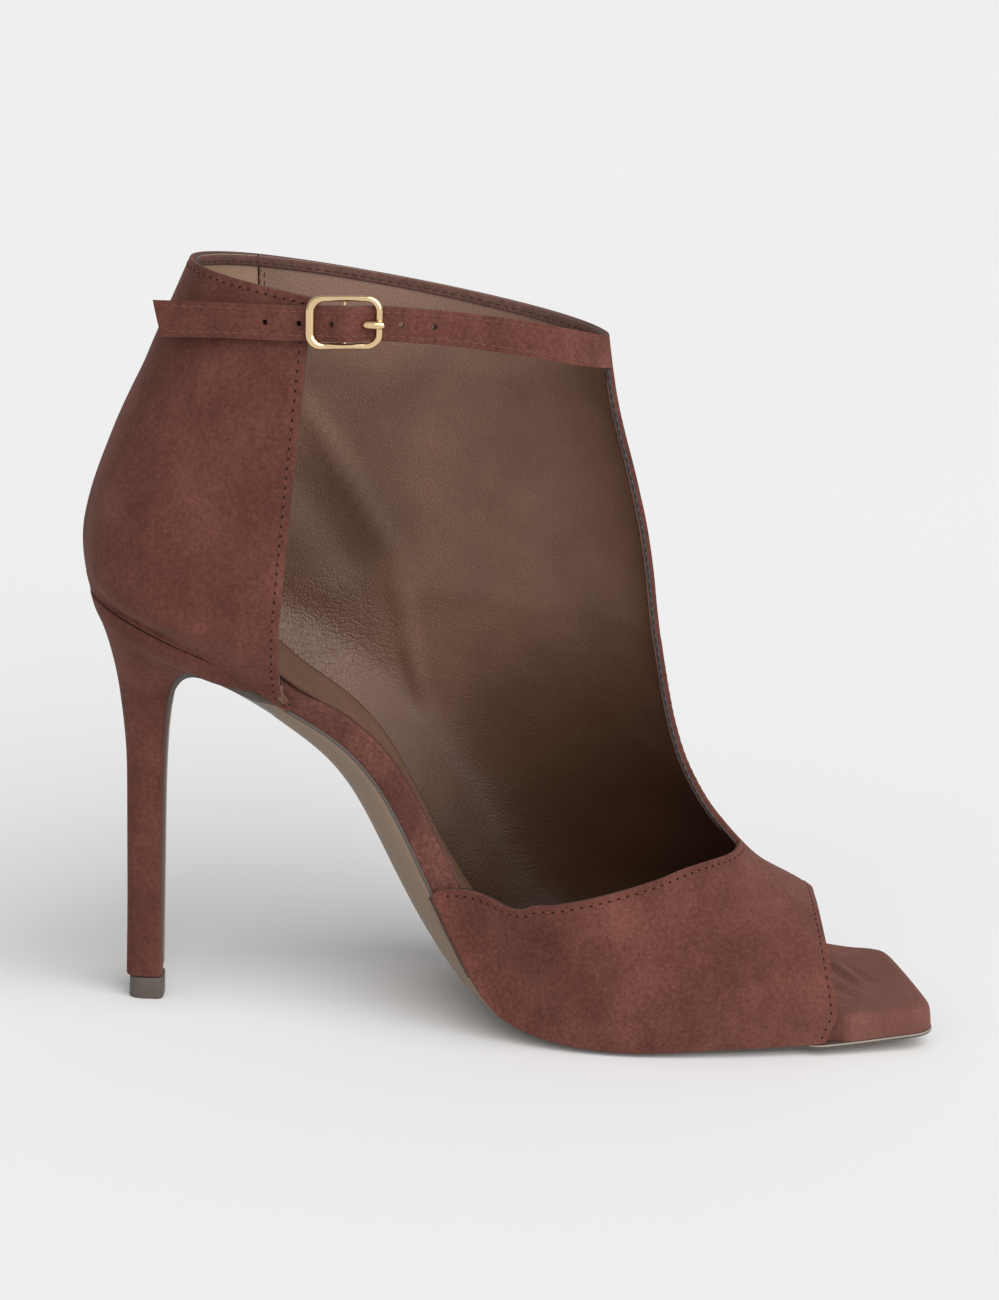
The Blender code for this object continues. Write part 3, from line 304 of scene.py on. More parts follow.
    def section(self, station: Array, share: Array, side: Side, gap: float) -> Array:
        """Points of the upper's outer face.

        Args:
            station: Which section, from 0 at the collar to 1 at the toe.
            share: How far along the section, from 0 at the ridge to 1 at its lower end.
            side: The inner or the outer side.
            gap: How far above the sole's top surface the lower end stays.

        Returns:
            One point for each pair of station and share.
        """
        station, share = np.broadcast_arrays(np.asarray(station, float), np.asarray(share, float))
        shapes, ridge, back = self.shapes(station), self.ridges(station), self.backs(station)
        sign = side.value
        wide, at = shapes[..., 0 if side is Side.INNER else 1], shapes[..., 2]
        x = self.base_x(station)
        reach = np.clip((x - self.seat_setback) / self.seat_radius, 0, 1)
        turned = np.arccos(1 - reach) / (math.pi / 2)
        leans = self.leans(station)[..., 0]
        on_sole = (station > self.seat_station)[..., None]
        above = np.stack([back[..., 0], np.zeros_like(x), back[..., 1]], axis=-1)
        base = np.where(on_sole, self.sole_point(x, sign * self.half_width(x, side), gap), above)
        upright = math.pi / 2
        arrival = np.where(on_sole[..., 0], leans + (upright - leans) * (1 - turned), upright)
        top = np.stack([ridge[..., 0], np.zeros_like(x), ridge[..., 1]], axis=-1)
        down = base * (1, 0, 1) - top
        length = np.linalg.norm(down, axis=-1)
        axis = down / length[..., None]
        out = np.array([0.0, sign, 0.0])
        widest = top + axis * (at * length)[..., None] + out * wide[..., None]
        after = (1 - at) * length
        cosine, sine = np.cos(arrival), np.sin(arrival)
        handle = shapes[..., 4] * (after * cosine + (wide - np.abs(base[..., 1])) * sine)
        end = base - (axis * cosine[..., None] - out * sine[..., None]) * handle[..., None]
        first = top + out * (wide * shapes[..., 3])[..., None]
        second = widest - axis * (at * length * 0.56)[..., None]
        third = widest + axis * (after * shapes[..., 5])[..., None]
        upper = bezier(top, first, second, widest, share * 2)
        lower = bezier(widest, third, end, base, share * 2 - 1)
        return np.where((share <= 0.5)[..., None], upper, lower)


class Signal:
    """A socket of a material, which Python's operators turn into Math nodes."""

    def __init__(self, graph: "Graph", socket: NodeSocket) -> None:
        """Keeps the socket and the graph that it is in."""
        self.graph = graph
        self.socket = socket

    def _math(self, operation: str, first: "Number", second: "Number" = 0.0) -> "Signal":
        """One Math node on two numbers or signals."""
        return self.graph.node("ShaderNodeMath", {"operation": operation}, {0: first, 1: second})

    def __add__(self, other: "Number") -> "Signal":
        """Sum."""
        return self._math("ADD", self, other)

    def __sub__(self, other: "Number") -> "Signal":
        """Difference."""
        return self._math("SUBTRACT", self, other)

    def __rsub__(self, other: "Number") -> "Signal":
        """Difference from a number."""
        return self._math("SUBTRACT", other, self)

    def __mul__(self, other: "Number") -> "Signal":
        """Product."""
        return self._math("MULTIPLY", self, other)

    def __truediv__(self, other: "Number") -> "Signal":
        """Quotient."""
        return self._math("DIVIDE", self, other)

    def __pow__(self, other: "Number") -> "Signal":
        """Power."""
        return self._math("POWER", self, other)

    __radd__ = __add__
    __rmul__ = __mul__

    def spread(self, low: float, high: float) -> "Signal":
        """0 up to low, 1 from high on, and an even rise between them."""
        sockets = {"Value": self, "From Min": low, "From Max": high}
        return self.graph.node("ShaderNodeMapRange", {"clamp": True}, sockets)


Number = Union[Signal, float]


class Graph:
    """The node tree of one material."""

    def __init__(self, name: str) -> None:
        """Makes the material, with its Principled shader.

        Args:
            name: The material's name.
        """
        self.material = bpy.data.materials.new(name)
        self.material.use_nodes = True
        self.tree = self.material.node_tree
        self.shader = self.tree.nodes["Principled BSDF"]

    def node(
        self,
        kind: str,
        settings: Optional[dict] = None,
        sockets: Optional[dict] = None,
        output: Union[int, str] = 0,
    ) -> Signal:
        """Adds one node.

        Args:
            kind: The node's type.
            settings: Its properties, and a ramp's stops, set before its sockets.
            sockets: Values or signals for its inputs, by name or number.
            output: Which of its outputs to return.

        Returns:
            The output as a signal.
        """
        made = self.tree.nodes.new(kind)
        for key, value in (settings or {}).items():
            if key != "stops":
                setattr(made, key, value)
                continue
            elements = made.color_ramp.elements
            while len(elements) < len(value):
                elements.new(0.5)
            for element, (place, colour) in zip(elements, value):
                element.position = place
                element.color = (*colour, 1.0)
        for key, value in (sockets or {}).items():
            self._feed(made.inputs[key], value)
        return Signal(self, made.outputs[output])

    def _feed(self, socket: NodeSocket, value: object) -> None:
        """Links a signal to a socket, or sets the socket's own value."""
        if isinstance(value, Signal):
            self.tree.links.new(value.socket, socket)
        else:
            socket.default_value = value

    def shade(self, **sockets: object) -> None:
        """Sets or links the shader's sockets, named with underscores for spaces."""
        for key, value in sockets.items():
            if isinstance(value, tuple) and len(value) == 3:
                value = (*value, 1.0)
            name = key.replace("_", " ").title().replace("Ior", "IOR")
            self._feed(self.shader.inputs[name], value)

    def place(
        self, scale: Sequence[float] = (1, 1, 1), turn: Sequence[float] = (0, 0, 0)
    ) -> Signal:
        """Object coordinates, stretched and turned, in degrees, by a Mapping node."""
        where = self.node("ShaderNodeTexCoord", output="Object")
        rotation = [math.radians(angle) for angle in turn]
        sockets = {"Vector": where, "Rotation": rotation, "Scale": scale}
        return self.node("ShaderNodeMapping", {"vector_type": "POINT"}, sockets)

    def cloud(
        self, where: Signal, wave: float, detail: float = 2.0, rough: float = 0.5, warp: float = 0.0
    ) -> Signal:
        """Noise about 0.5 whose patches are about wave metres across."""
        sockets = {"Vector": where, "Scale": 1 / wave, "Detail": detail}
        sockets |= {"Roughness": rough, "Distortion": warp}
        return self.node("ShaderNodeTexNoise", {"noise_dimensions": "3D"}, sockets)

    def cells(self, where: Signal, wave: float) -> Signal:
        """Distance to the edges between cells about wave metres across."""
        settings = {"feature": "DISTANCE_TO_EDGE"}
        sockets = {"Vector": where, "Scale": 1 / wave}
        return self.node("ShaderNodeTexVoronoi", settings, sockets, "Distance")

    def mix(self, share: Number, first: object, second: object) -> Signal:
        """A colour between two others, by share."""
        pair = [(*c, 1.0) if isinstance(c, tuple) else c for c in (first, second)]
        sockets = {0: share, 6: pair[0], 7: pair[1]}
        return self.node("ShaderNodeMix", {"data_type": "RGBA"}, sockets, 2)

    def ramp(self, share: Signal, stops: Sequence[tuple[float, Colour]]) -> Signal:
        """A colour from stops, by share."""
        return self.node("ShaderNodeValToRGB", {"stops": stops}, {"Fac": share}, "Color")

    def along(self, axis: str) -> Signal:
        """One object coordinate, in metres."""
        where = self.node("ShaderNodeTexCoord", output="Object")
        return self.node("ShaderNodeSeparateXYZ", None, {"Vector": where}, axis)

    def bump(self, height: Signal, depth: float, strength: float = 1.0) -> Signal:
        """A normal from a height of 0 to 1 that stands for depth metres."""
        sockets = {"Strength": strength, "Distance": depth, "Height": height}
        return self.node("ShaderNodeBump", None, sockets, "Normal")


@dataclass(frozen=True)
class Suede:
    """Brushed suede: soft clouds where the nap lies another way, a fine nap and short fibres, with
    painted shade towards the heel and painted light towards the toe.
    """

    name: str = "suede"
    deep: Colour = (0.062, 0.0205, 0.0150)
    middle: Colour = (0.108, 0.0370, 0.0270)
    light: Colour = (0.170, 0.0640, 0.0480)
    cloud_wave: float = 0.020
    contrast: float = 1.0
    painted_toe_light: float = 0.20
    painted_heel_shade: float = 0.22
    painted_heel_shade_run: tuple[float, float] = (0.0, 0.080)
    toe_run: tuple[float, float] = (0.145, 0.195)
    sheen: Colour = (0.90, 0.56, 0.48)

    def material(self) -> Material:
        """Builds the material."""
        g = Graph(self.name)
        where = g.place()
        clouds = g.cloud(where, self.cloud_wave, 1.5, 0.5, 0.3)
        brushed = g.cloud(g.place((1.0, 1.0, 0.6), (0, 25, 0)), 0.0065, 2.5, 0.55, 0.5)
        nap = g.cloud(where, 0.0011, 3.0, 0.65)
        fibre = g.cloud(where, 0.00024, 2.0, 0.6)
        tone = (clouds - 0.5) * (0.8 * self.contrast) + (brushed - 0.5) * (0.6 * self.contrast)
        tone = tone + (nap - 0.5) * 1.1 + (fibre - 0.5) * 0.6 + 0.5
        colour = g.ramp(tone, [(0.08, self.deep), (0.5, self.middle), (0.94, self.light)])
        x = g.along("X")
        # painted shade darkens the suede towards the heel, and painted light brightens it towards the
        # toe
        painted_heel_shade_mask = 1.0 - x.spread(*self.painted_heel_shade_run)
        colour = g.mix(painted_heel_shade_mask * self.painted_heel_shade, colour, self.deep)
        colour = g.mix(x.spread(*self.toe_run) * self.painted_toe_light, colour, self.light)
        height = nap * 0.6 + fibre * 0.4
        g.shade(base_color=colour, roughness=0.95, normal=g.bump(height, 0.00024, 0.8))
        g.shade(specular_ior_level=0.15, sheen_weight=0.12, sheen_roughness=0.5)
        g.shade(sheen_tint=self.sheen)
        return g.material


@dataclass(frozen=True)
class WearAndShade:
    """How the side lining is worn, where shade is painted on it, and where it is paler, at places in
    the frame, in metres.
    """

    shaded: Colour = (0.043, 0.0165, 0.0055)
    shaded_run: tuple[float, float] = (-0.062, 0.012)
    # paler towards the top
    paler_top: Colour = (0.30, 0.185, 0.14)
    paler_top_run: tuple[float, float] = (0.168, 0.192)
    # painted shade towards the ridge, where the strap shades the lining
    ridge: Colour = (0.085, 0.038, 0.024)
    painted_ridge_shade_run: tuple[float, float] = (0.128, 0.166)
    # painted shade in a spot beside the crease
    painted_crease_shade: Colour = (0.074, 0.037, 0.018)
    painted_crease_shade_spot: tuple[float, ...] = (0.050, 0.024, 0.126, 0.026)
    shiny_spot: tuple[float, ...] = (0.042, 0.030, 0.094, 0.022)

    def spot(self, x: Signal, z: Signal, place: tuple[float, ...]) -> Signal:
        """1 in the middle of a spot and 0 outside it, from its x, half length, z and half height."""
        away = ((x - place[0]) / place[1]) ** 2 + ((z - place[2]) / place[3]) ** 2
        return 1.0 - away.spread(0.1, 1.0)

    def colour(self, g: Graph, colour: Signal) -> Signal:
        """The lining's colour, with painted shade low towards the toe, along the ridge and beside the
        crease, and paler towards the top.
        """
        x, z = g.along("X"), g.along("Z")
        colour = g.mix((x * 0.5 - z).spread(*self.shaded_run), colour, self.shaded)
        colour = g.mix(z.spread(*self.paler_top_run) * 0.35, colour, self.paler_top)
        colour = g.mix((x + z * 0.22).spread(*self.painted_ridge_shade_run) * 0.4, colour, self.ridge)
        return g.mix(self.spot(x, z, self.painted_crease_shade_spot) * 0.6, colour, self.painted_crease_shade)

    def shine(self, g: Graph) -> Signal:
        """Where the lining has been worn until it shines."""
        return self.spot(g.along("X"), g.along("Z"), self.shiny_spot)


@dataclass(frozen=True)
class Leather:
    """Grained lining leather, smoother and glossier where it is worn."""

    name: str
    deep: Colour
    light: Colour
    grain: float = 0.0009
    roughness: tuple[float, float] = (0.42, 0.62)
    depth: float = 0.00010
    wear_and_shade: Optional[WearAndShade] = None

    def material(self) -> Material:
        """Builds the material."""
        g = Graph(self.name)
        where = g.place()
        patches = g.cloud(where, 0.022, 3.0, 0.5, 0.4)
        pebble = g.cells(g.place((1.0, 1.0, 0.8), (10, 20, 0)), self.grain)
        wrinkle = g.cells(g.place((0.55, 1.0, 1.0), (0, 35, 0)), self.grain * 2.6)
        pores = g.cloud(where, 0.00045, 2.0, 0.6)
        colour = g.mix(patches.spread(0.28, 0.74), self.deep, self.light)
        valley = tuple(c * 0.62 for c in self.deep)
        colour = g.mix(pebble.spread(0.0, 0.22) * 0.35 + 0.65, valley, colour)
        low, high = self.roughness
        rough = patches * (high - low) + low
        height = pebble.spread(0.0, 0.30) * 0.6 + wrinkle.spread(0.0, 0.10) * 0.3 + pores * 0.25
        # painted shade and a paler top in the colour, and shine where the lining is worn
        if self.wear_and_shade:
            colour = self.wear_and_shade.colour(g, colour)
            shiny = self.wear_and_shade.shine(g)
            rough = rough - shiny * 0.17
            height = height * (shiny + 1.0) + wrinkle.spread(0.0, 0.16) * shiny * 0.5
        g.shade(base_color=colour, roughness=rough, normal=g.bump(height, self.depth, 0.8))
        g.shade(specular_ior_level=0.42)
        return g.material


@dataclass(frozen=True)
class Moulded:
    """Smooth sole unit or rubber with a dull, slightly uneven skin and light scuffs."""

    name: str
    colour: Colour
    roughness: float = 0.5
    scuffs: float = 0.25
    below: Optional[Colour] = None
    painted_shade_low_run: tuple[float, float] = (0.062, 0.050)

    def material(self) -> Material:
        """Builds the material."""
        g = Graph(self.name)
        patches = g.cloud(g.place(), 0.016, 3.0, 0.5, 0.3)
        lines = g.cloud(g.place((0.12, 1.0, 1.0), (0, 8, 12)), 0.0007, 2.0, 0.5)
        grit = g.cloud(g.place(), 0.00035, 2.0, 0.6)
        shares = (1 - self.scuffs, 1 + self.scuffs)
        darker, lighter = (tuple(c * share for c in self.colour) for share in shares)
        colour = g.mix(patches * 0.7 + lines * 0.3, darker, lighter)
        # painted shade: a darker colour low down, where the rim lies in shadow
        if self.below:
            colour = g.mix(g.along("Z").spread(*self.painted_shade_low_run), colour, self.below)
        rough = patches * 0.16 + (self.roughness - 0.08)
        skin = g.bump(grit * 0.7 + lines * 0.3, 0.00006, 0.6)
        g.shade(base_color=colour, roughness=rough, normal=skin)
        return g.material


@dataclass(frozen=True)
class Plated:
    """Pale gold plating with faint polishing lines."""

    name: str = "pale_gold"
    colour: Colour = (0.84, 0.61, 0.35)
    roughness: float = 0.15

    def material(self) -> Material:
        """Builds the material."""
        g = Graph(self.name)
        smear = g.cloud(g.place(), 0.004, 2.0, 0.5)
        lines = g.cloud(g.place((1.0, 1.0, 0.08), (0, 0, 20)), 0.00018, 2.0, 0.5)
        worn = tuple(c * 0.88 for c in self.colour)
        g.shade(base_color=g.mix(smear, worn, self.colour), metallic=1.0)
        g.shade(roughness=smear * 0.12 + (self.roughness - 0.06))
        g.shade(normal=g.bump(lines, 0.00001, 0.4))
        return g.material


@dataclass(frozen=True)
class Thread:
    """Twisted sewing thread."""

    name: str
    colour: Colour

    def material(self) -> Material:
        """Builds the material."""
        g = Graph(self.name)
        plies = g.cloud(g.place((1.0, 1.0, 1.0), (30, 0, 40)), 0.00022, 2.0, 0.6)
        darker, lighter = (tuple(c * share for c in self.colour) for share in (0.7, 1.2))
        colour = g.mix(plies, darker, lighter)
        g.shade(base_color=colour, roughness=0.8, normal=g.bump(plies, 0.00008, 0.7))
        g.shade(specular_ior_level=0.15)
        return g.material


class Palette:
    """The finishes, each made into a material once."""

    # suede: deep, middle, light, cloud wave, contrast, painted light towards the toe
    # leather: deep, light, grain, roughness, depth
    # moulded: colour, roughness, scuffs, painted shade low down
    FINISHES = (
        Suede(),
        # insole suede: strong painted light towards the toe
        Suede(
            "insole_suede", (0.062, 0.023, 0.018), (0.100, 0.038, 0.029), (0.190, 0.077, 0.060),
            0.014, 1.0, 0.45,
        ),
        Suede(
            "cut_edge", (0.050, 0.022, 0.017), (0.092, 0.042, 0.033), (0.140, 0.066, 0.052),
            0.006, 0.6,
        ),
        Suede(
            "facing", (0.060, 0.029, 0.023), (0.115, 0.057, 0.046), (0.170, 0.086, 0.070),
            0.006, 0.6,
        ),
        Leather("lining_leather", (0.126, 0.060, 0.038), (0.188, 0.096, 0.062), wear_and_shade=WearAndShade()),
        Leather(
            "heel_lining", (0.250, 0.150, 0.096), (0.350, 0.225, 0.150),
            0.0007, (0.50, 0.66), 0.00006,
        ),
        Leather(
            "sock_leather", (0.125, 0.066, 0.040), (0.195, 0.108, 0.068),
            0.0008, (0.45, 0.6), 0.00007,
        ),
        Leather(
            "lining_fold", (0.150, 0.082, 0.056), (0.215, 0.122, 0.086),
            0.0008, (0.45, 0.6), 0.00007,
        ),
        Moulded("sole_brown", (0.215, 0.146, 0.098), 0.5, 0.16),
        Moulded("sole_edge", (0.075, 0.058, 0.048), 0.32, 0.15),
        Moulded("sole_rand", (0.260, 0.220, 0.180), 0.45, 0.15),
        # edge paint: painted shade, darker brown low down
        Moulded("edge_paint", (0.042, 0.036, 0.038), 0.6, 0.35, (0.030, 0.014, 0.010)),
        Moulded("tip_grey_brown", (0.080, 0.061, 0.050), 0.5, 0.12),
        Plated(),
        Thread("suede_thread", (0.150, 0.056, 0.042)),
        Thread("strap_thread", (0.165, 0.070, 0.052)),
        Thread("lining_thread", (0.055, 0.034, 0.028)),
        Thread("rim_thread", (0.030, 0.018, 0.016)),
        # painted shade: the near-black discs in the needle holes
        Thread("needle_hole_shade", (0.020, 0.010, 0.008)),
        Thread("elastic_brown", (0.270, 0.140, 0.110)),
    )

    def __init__(self) -> None:
        """Builds every material."""
        self.materials = {finish.name: finish.material() for finish in self.FINISHES}

    def __getitem__(self, name: str) -> Material:
        """The material of a finish."""
        return self.materials[name]


def lay_grid(mesh: BMesh, points: Array) -> list[list[BMVert]]:
    """Adds a grid primitive and lays its corners on points.

    Args:
        mesh: The mesh that takes the grid.
        points: Rows and columns of points.

    Returns:
        The new vertices, by row and column.
    """
    rows, columns = points.shape[:2]
    steps = {"x_segments": columns - 1, "y_segments": rows - 1}
    made = bmesh.ops.create_grid(mesh, **steps, size=0.5)["verts"]
    placed: list[list[BMVert]] = [[None] * columns for _ in range(rows)]
    for vertex in made:
        column = round((vertex.co.x + 0.5) * (columns - 1))
        row = round((vertex.co.y + 0.5) * (rows - 1))
        placed[row][column] = vertex
    for row, line in enumerate(placed):
        for column, vertex in enumerate(line):
            vertex.co = points[row, column]
    return placed


def lay_rings(mesh: BMesh, rings: Array, ends: bool = True) -> None:
    """Adds a tube through closed rings of equal count, its ends filled or joined.

    Args:
        mesh: The mesh that takes the tube.
        rings: Rings of points, one row each.
        ends: Whether the ends are filled, or left open.
    """
    lay_grid(mesh, np.concatenate([rings, rings[:, :1]], axis=1))
    bmesh.ops.remove_doubles(mesh, verts=mesh.verts, dist=2e-6)
    if ends:
        bmesh.ops.holes_fill(mesh, edges=[e for e in mesh.edges if e.is_boundary], sides=0)
    bmesh.ops.recalc_face_normals(mesh, faces=mesh.faces)


def turn_faces(mesh: BMesh, axis: Vector, facing: float = 1.0) -> None:
    """Makes an open sheet's faces agree, and turns them all one way.

    Args:
        mesh: The mesh that holds the sheet.
        axis: The direction in which the face to judge by lies farthest.
        facing: 1 where that face looks along the axis, and -1 where it looks back.
    """
    bmesh.ops.recalc_face_normals(mesh, faces=mesh.faces)
    mesh.normal_update()
    farthest = max(mesh.faces, key=lambda face: face.calc_center_median().dot(axis))
    if farthest.normal.dot(axis) * facing < 0:
        bmesh.ops.reverse_faces(mesh, faces=mesh.faces)
        mesh.normal_update()


def finished(name: str, mesh: BMesh) -> bpy.types.Mesh:
    """The data of a mesh in the making, which is freed."""
    data = bpy.data.meshes.new(name)
    mesh.to_mesh(data)
    mesh.free()
    return data


def linked(name: str, data: bpy.types.ID) -> Object:
    """A new object of some data, in the scene."""
    made = bpy.data.objects.new(name, data)
    bpy.context.scene.collection.objects.link(made)
    return made


@dataclass
class Maker:
    """Finishes pieces: names, places and dresses them, and hangs them on the frame."""

    last: Last
    palette: Palette

    def piece(
        self, name: str, mesh: BMesh, finishes: Sequence[str], replaces: Sequence[str] = ()
    ) -> Object:
        """Makes a piece of a mesh in shoe coordinates.

        Args:
            name: The piece's name.
            mesh: Its mesh, which is freed.
            finishes: The finishes of its material slots, the main one first.
            replaces: CAD nodes that it stands for.

        Returns:
            The object, at the origin, with its place in its mesh.
        """
        bmesh.ops.translate(mesh, vec=-self.last.origin, verts=mesh.verts)
        data = finished(name, mesh)
        for finish in finishes:
            data.materials.append(self.palette[finish])
        data.shade_smooth()
        piece = linked(name, data)
        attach(piece, "root")
        if replaces:
            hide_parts(*replaces)
        log.info("%s: %d faces", name, len(data.polygons))
        return piece

    def round_edges(self, piece: Object, width: float, segments: int, angle: float) -> None:
        """Rounds the edges sharper than an angle in degrees, with a Bevel modifier."""
        bevel = piece.modifiers.new("rounded", "BEVEL")
        bevel.width = width
        bevel.segments = segments
        bevel.limit_method = "ANGLE"
        bevel.angle_limit = math.radians(angle)
        bevel.use_clamp_overlap = True

    def thicken(self, piece: Object, thickness: float, rim: int = 0) -> None:
        """Gives a sheet its wall, inwards, with a Solidify modifier, and its rim a finish."""
        wall = piece.modifiers.new("wall", "SOLIDIFY")
        wall.thickness = thickness
        wall.offset = -1
        wall.use_even_offset = False
        wall.material_offset_rim = rim


@dataclass(frozen=True)
class Crease:
    """A soft trough, or a ridge where its depth is negative, along a line; lengths in mm.

    The line lies in the plane of two axes, and the crease keeps to one side of the shoe, or to
    neither where side is None.
    """

    start: tuple[float, float]
    end: tuple[float, float]
    width: float
    depth: float
    side: Optional[Side] = Side.OUTER
    axes: tuple[int, int] = (0, 2)

    def push(self, points: Array) -> Array:
        """How far each point moves inwards, in metres."""
        start, end = np.array(self.start) * MM, np.array(self.end) * MM
        run = end - start
        flat = points[:, list(self.axes)]
        share = (flat - start) @ run / (run @ run)
        kept = np.clip(share, 0, 1)
        away = np.linalg.norm(flat - start - kept[:, None] * run, axis=1)
        fade = 0.25 + 0.75 * smooth_step(np.minimum(kept, 1 - kept) * 3.5)
        here = 1.0
        if self.side:
            here = smooth_step((points[:, 1] * self.side.value - 4 * MM) / (8 * MM))
        return self.depth * MM * fade * here * np.exp(-((away / (self.width * MM)) ** 2))


@dataclass
class Strap:
    """The ankle strap's path over the inner quarter, and its holes."""

    last: Last
    width: float = 0.0088
    straightness: float = 0.6
    standoff: float = 0.0008
    rise: float = 0.003
    tail: float = 0.025
    wall: float = 0.0018
    hole_radius: float = 0.00078
    hole_pitch: float = 0.0086
    holes_behind: int = 3
    holes_ahead: int = 3
    prong_hole: float = 0.005
    buckle_length: float = 0.0188
    buckle_share: float = 0.3005
    leaves_share: float = 0.19
    rows: int = 14
    columns: int = 216
    # top edge, x and z as shares
    edge: tuple = (
        (0.0862, 0.9560),
        (0.1509, 0.9612),
        (0.1897, 0.9634),
        (0.2543, 0.9662),
        (0.3017, 0.9700),
        (0.3534, 0.9706),
        (0.4224, 0.9622),
        (0.4914, 0.9480),
        (0.5430, 0.9338),
        (0.5925, 0.9175),
    )

    def __post_init__(self) -> None:
        """Works out the strap's top edge, where the buckle sits, and the collar below it."""
        last = self.last
        table = np.array(self.edge)
        self.top_edge = Spline(table[:, 0] * last.length, table[:, 1] * last.top)
        self.buckle_x = last.length * self.buckle_share
        stations = np.linspace(0, last.second_station * 1.2, 9)[:, None]
        self.slices = last.section(stations, np.linspace(1, 0, 300)[None], Side.INNER, last.fit_gap)

    def offset(self, x: Array) -> Array:
        """How far the strap's outer face stands out from the collar's own outer face."""
        long = self.buckle_length
        ease = smooth_step((self.buckle_x + long * 1.6 - x) / (long * 1.2))
        bow = self.rise * np.exp(-(((x - self.buckle_x) / (long * 0.24)) ** 2))
        return (self.wall + self.standoff) * ease + bow

    def collar_line(self, down: float) -> tuple[Array, Array]:
        """The collar's inner side along the strap's run.

        Args:
            down: How far below the strap's top edge the line runs.

        Returns:
            Points from the ridge backwards, and the outward direction at each.
        """
        last = self.last
        x = np.linspace(last.ridges(0.0)[0], last.length * self.leaves_share, 120)
        z = self.top_edge(x)[:, 0] - down
        heights = np.array([np.interp(x, row[:, 0], row[:, 2]) for row in self.slices])
        sideways = np.array([np.interp(x, row[:, 0], row[:, 1]) for row in self.slices])
        y = [np.interp(z[i], heights[::-1, i], sideways[::-1, i]) for i in range(len(x))]
        y = np.array(y)
        run = np.stack([x, y, z], axis=1)
        buckle = int(np.argmin(np.abs(x - self.buckle_x - self.buckle_length)))
        chord = np.interp(x, x[[buckle, 0]], y[[buckle, 0]])
        run[:buckle, 1] += self.straightness * (chord[:buckle] - y[:buckle])
        tangent = np.gradient(run[:, :2], axis=0)
        tangent[:3] = tangent[3]
        tangent = unit(tangent)
        outward = np.stack([tangent[:, 1], -tangent[:, 0], np.zeros(len(run))], axis=1)
        return run, outward * np.where(outward[:, 1:2] > 0, -1, 1)

    def beside(self, x: float, offset: float, down: float) -> Array:
        """A point at x along the shoe, offset out from the collar and down from the strap's top."""
        line, outward = self.collar_line(down)
        found = np.array([np.interp(-x, -line[:, 0], line[:, k]) for k in range(3)])
        away = np.array([np.interp(-x, -line[:, 0], outward[:, k]) for k in range(3)])
        return found + away * offset

    def line(self, down: float) -> Array:
        """The strap's outer face at a distance down its width, from the ridge to its end."""
        run, outward = self.collar_line(down)
        run = run + outward * self.offset(run[:, 0])[:, None]
        last = (run[-1] - run[-5]) * (1, 1, 0)
        steps = np.linspace(0, self.tail, 30)[1:, None]
        tail = run[-1] + last / np.linalg.norm(last) * steps
        tail[:, 2] = self.top_edge(tail[:, 0])[:, 0] - down
        return np.concatenate([run, tail])

    def stations(self) -> Array:
        """Stations whose ridge points divide the strap's width where it leaves the upper."""
        tries = np.linspace(0, 0.2, 400)
        fall = self.last.ridges(0.0)[1] - self.last.ridges(tries)[:, 1]
        return np.interp(self.width * np.linspace(0, 1, self.rows + 1), fall, tries)

    def grid(self) -> Array:
        """Points of the strap's outer face: rows down its width, columns from the ridge."""
        rows = []
        for i, station in enumerate(self.stations()):
            line = self.line(self.width * i / self.rows)
            run = chord_lengths(line)[-1] - self.width * 0.35 * i / self.rows
            places = np.linspace(0, run, self.columns + 1)
            row = resampled(line, places)
            near = np.clip(1 - places / (self.width * 2.5), 0, 1) ** 2
            ridge = self.last.ridges(station)
            rows.append(row + (np.array([ridge[0], 0, ridge[1]]) - row[0]) * near[:, None])
        return np.array(rows)

    def hole_places(self) -> list[float]:
        """Where the strap's holes lie along the shoe."""
        steps = range(-self.holes_behind, self.holes_ahead)
        return [self.buckle_x + self.prong_hole + self.hole_pitch * i for i in steps]

    def punch(self, mesh: BMesh, placed: list[list[BMVert]]) -> None:
        """Opens a round hole in the strap's grid at each place.

        Args:
            mesh: The mesh with the grid.
            placed: The grid's vertices, by row and column.
        """
        middle, reach = self.rows // 2, 2
        places = np.array([vertex.co.x for vertex in placed[middle]])
        inner = []
        for x in self.hole_places():
            at = int(np.argmin(np.abs(places - x)))
            centre = placed[middle][at].co.copy()
            for row in range(-reach, reach + 1):
                for column in range(-reach, reach + 1):
                    vertex = placed[middle + row][at + column]
                    if max(abs(row), abs(column)) < reach:
                        inner.append(vertex)
                    else:
                        vertex.co = centre + (vertex.co - centre).normalized() * self.hole_radius
        bmesh.ops.delete(mesh, geom=inner, context="VERTS")


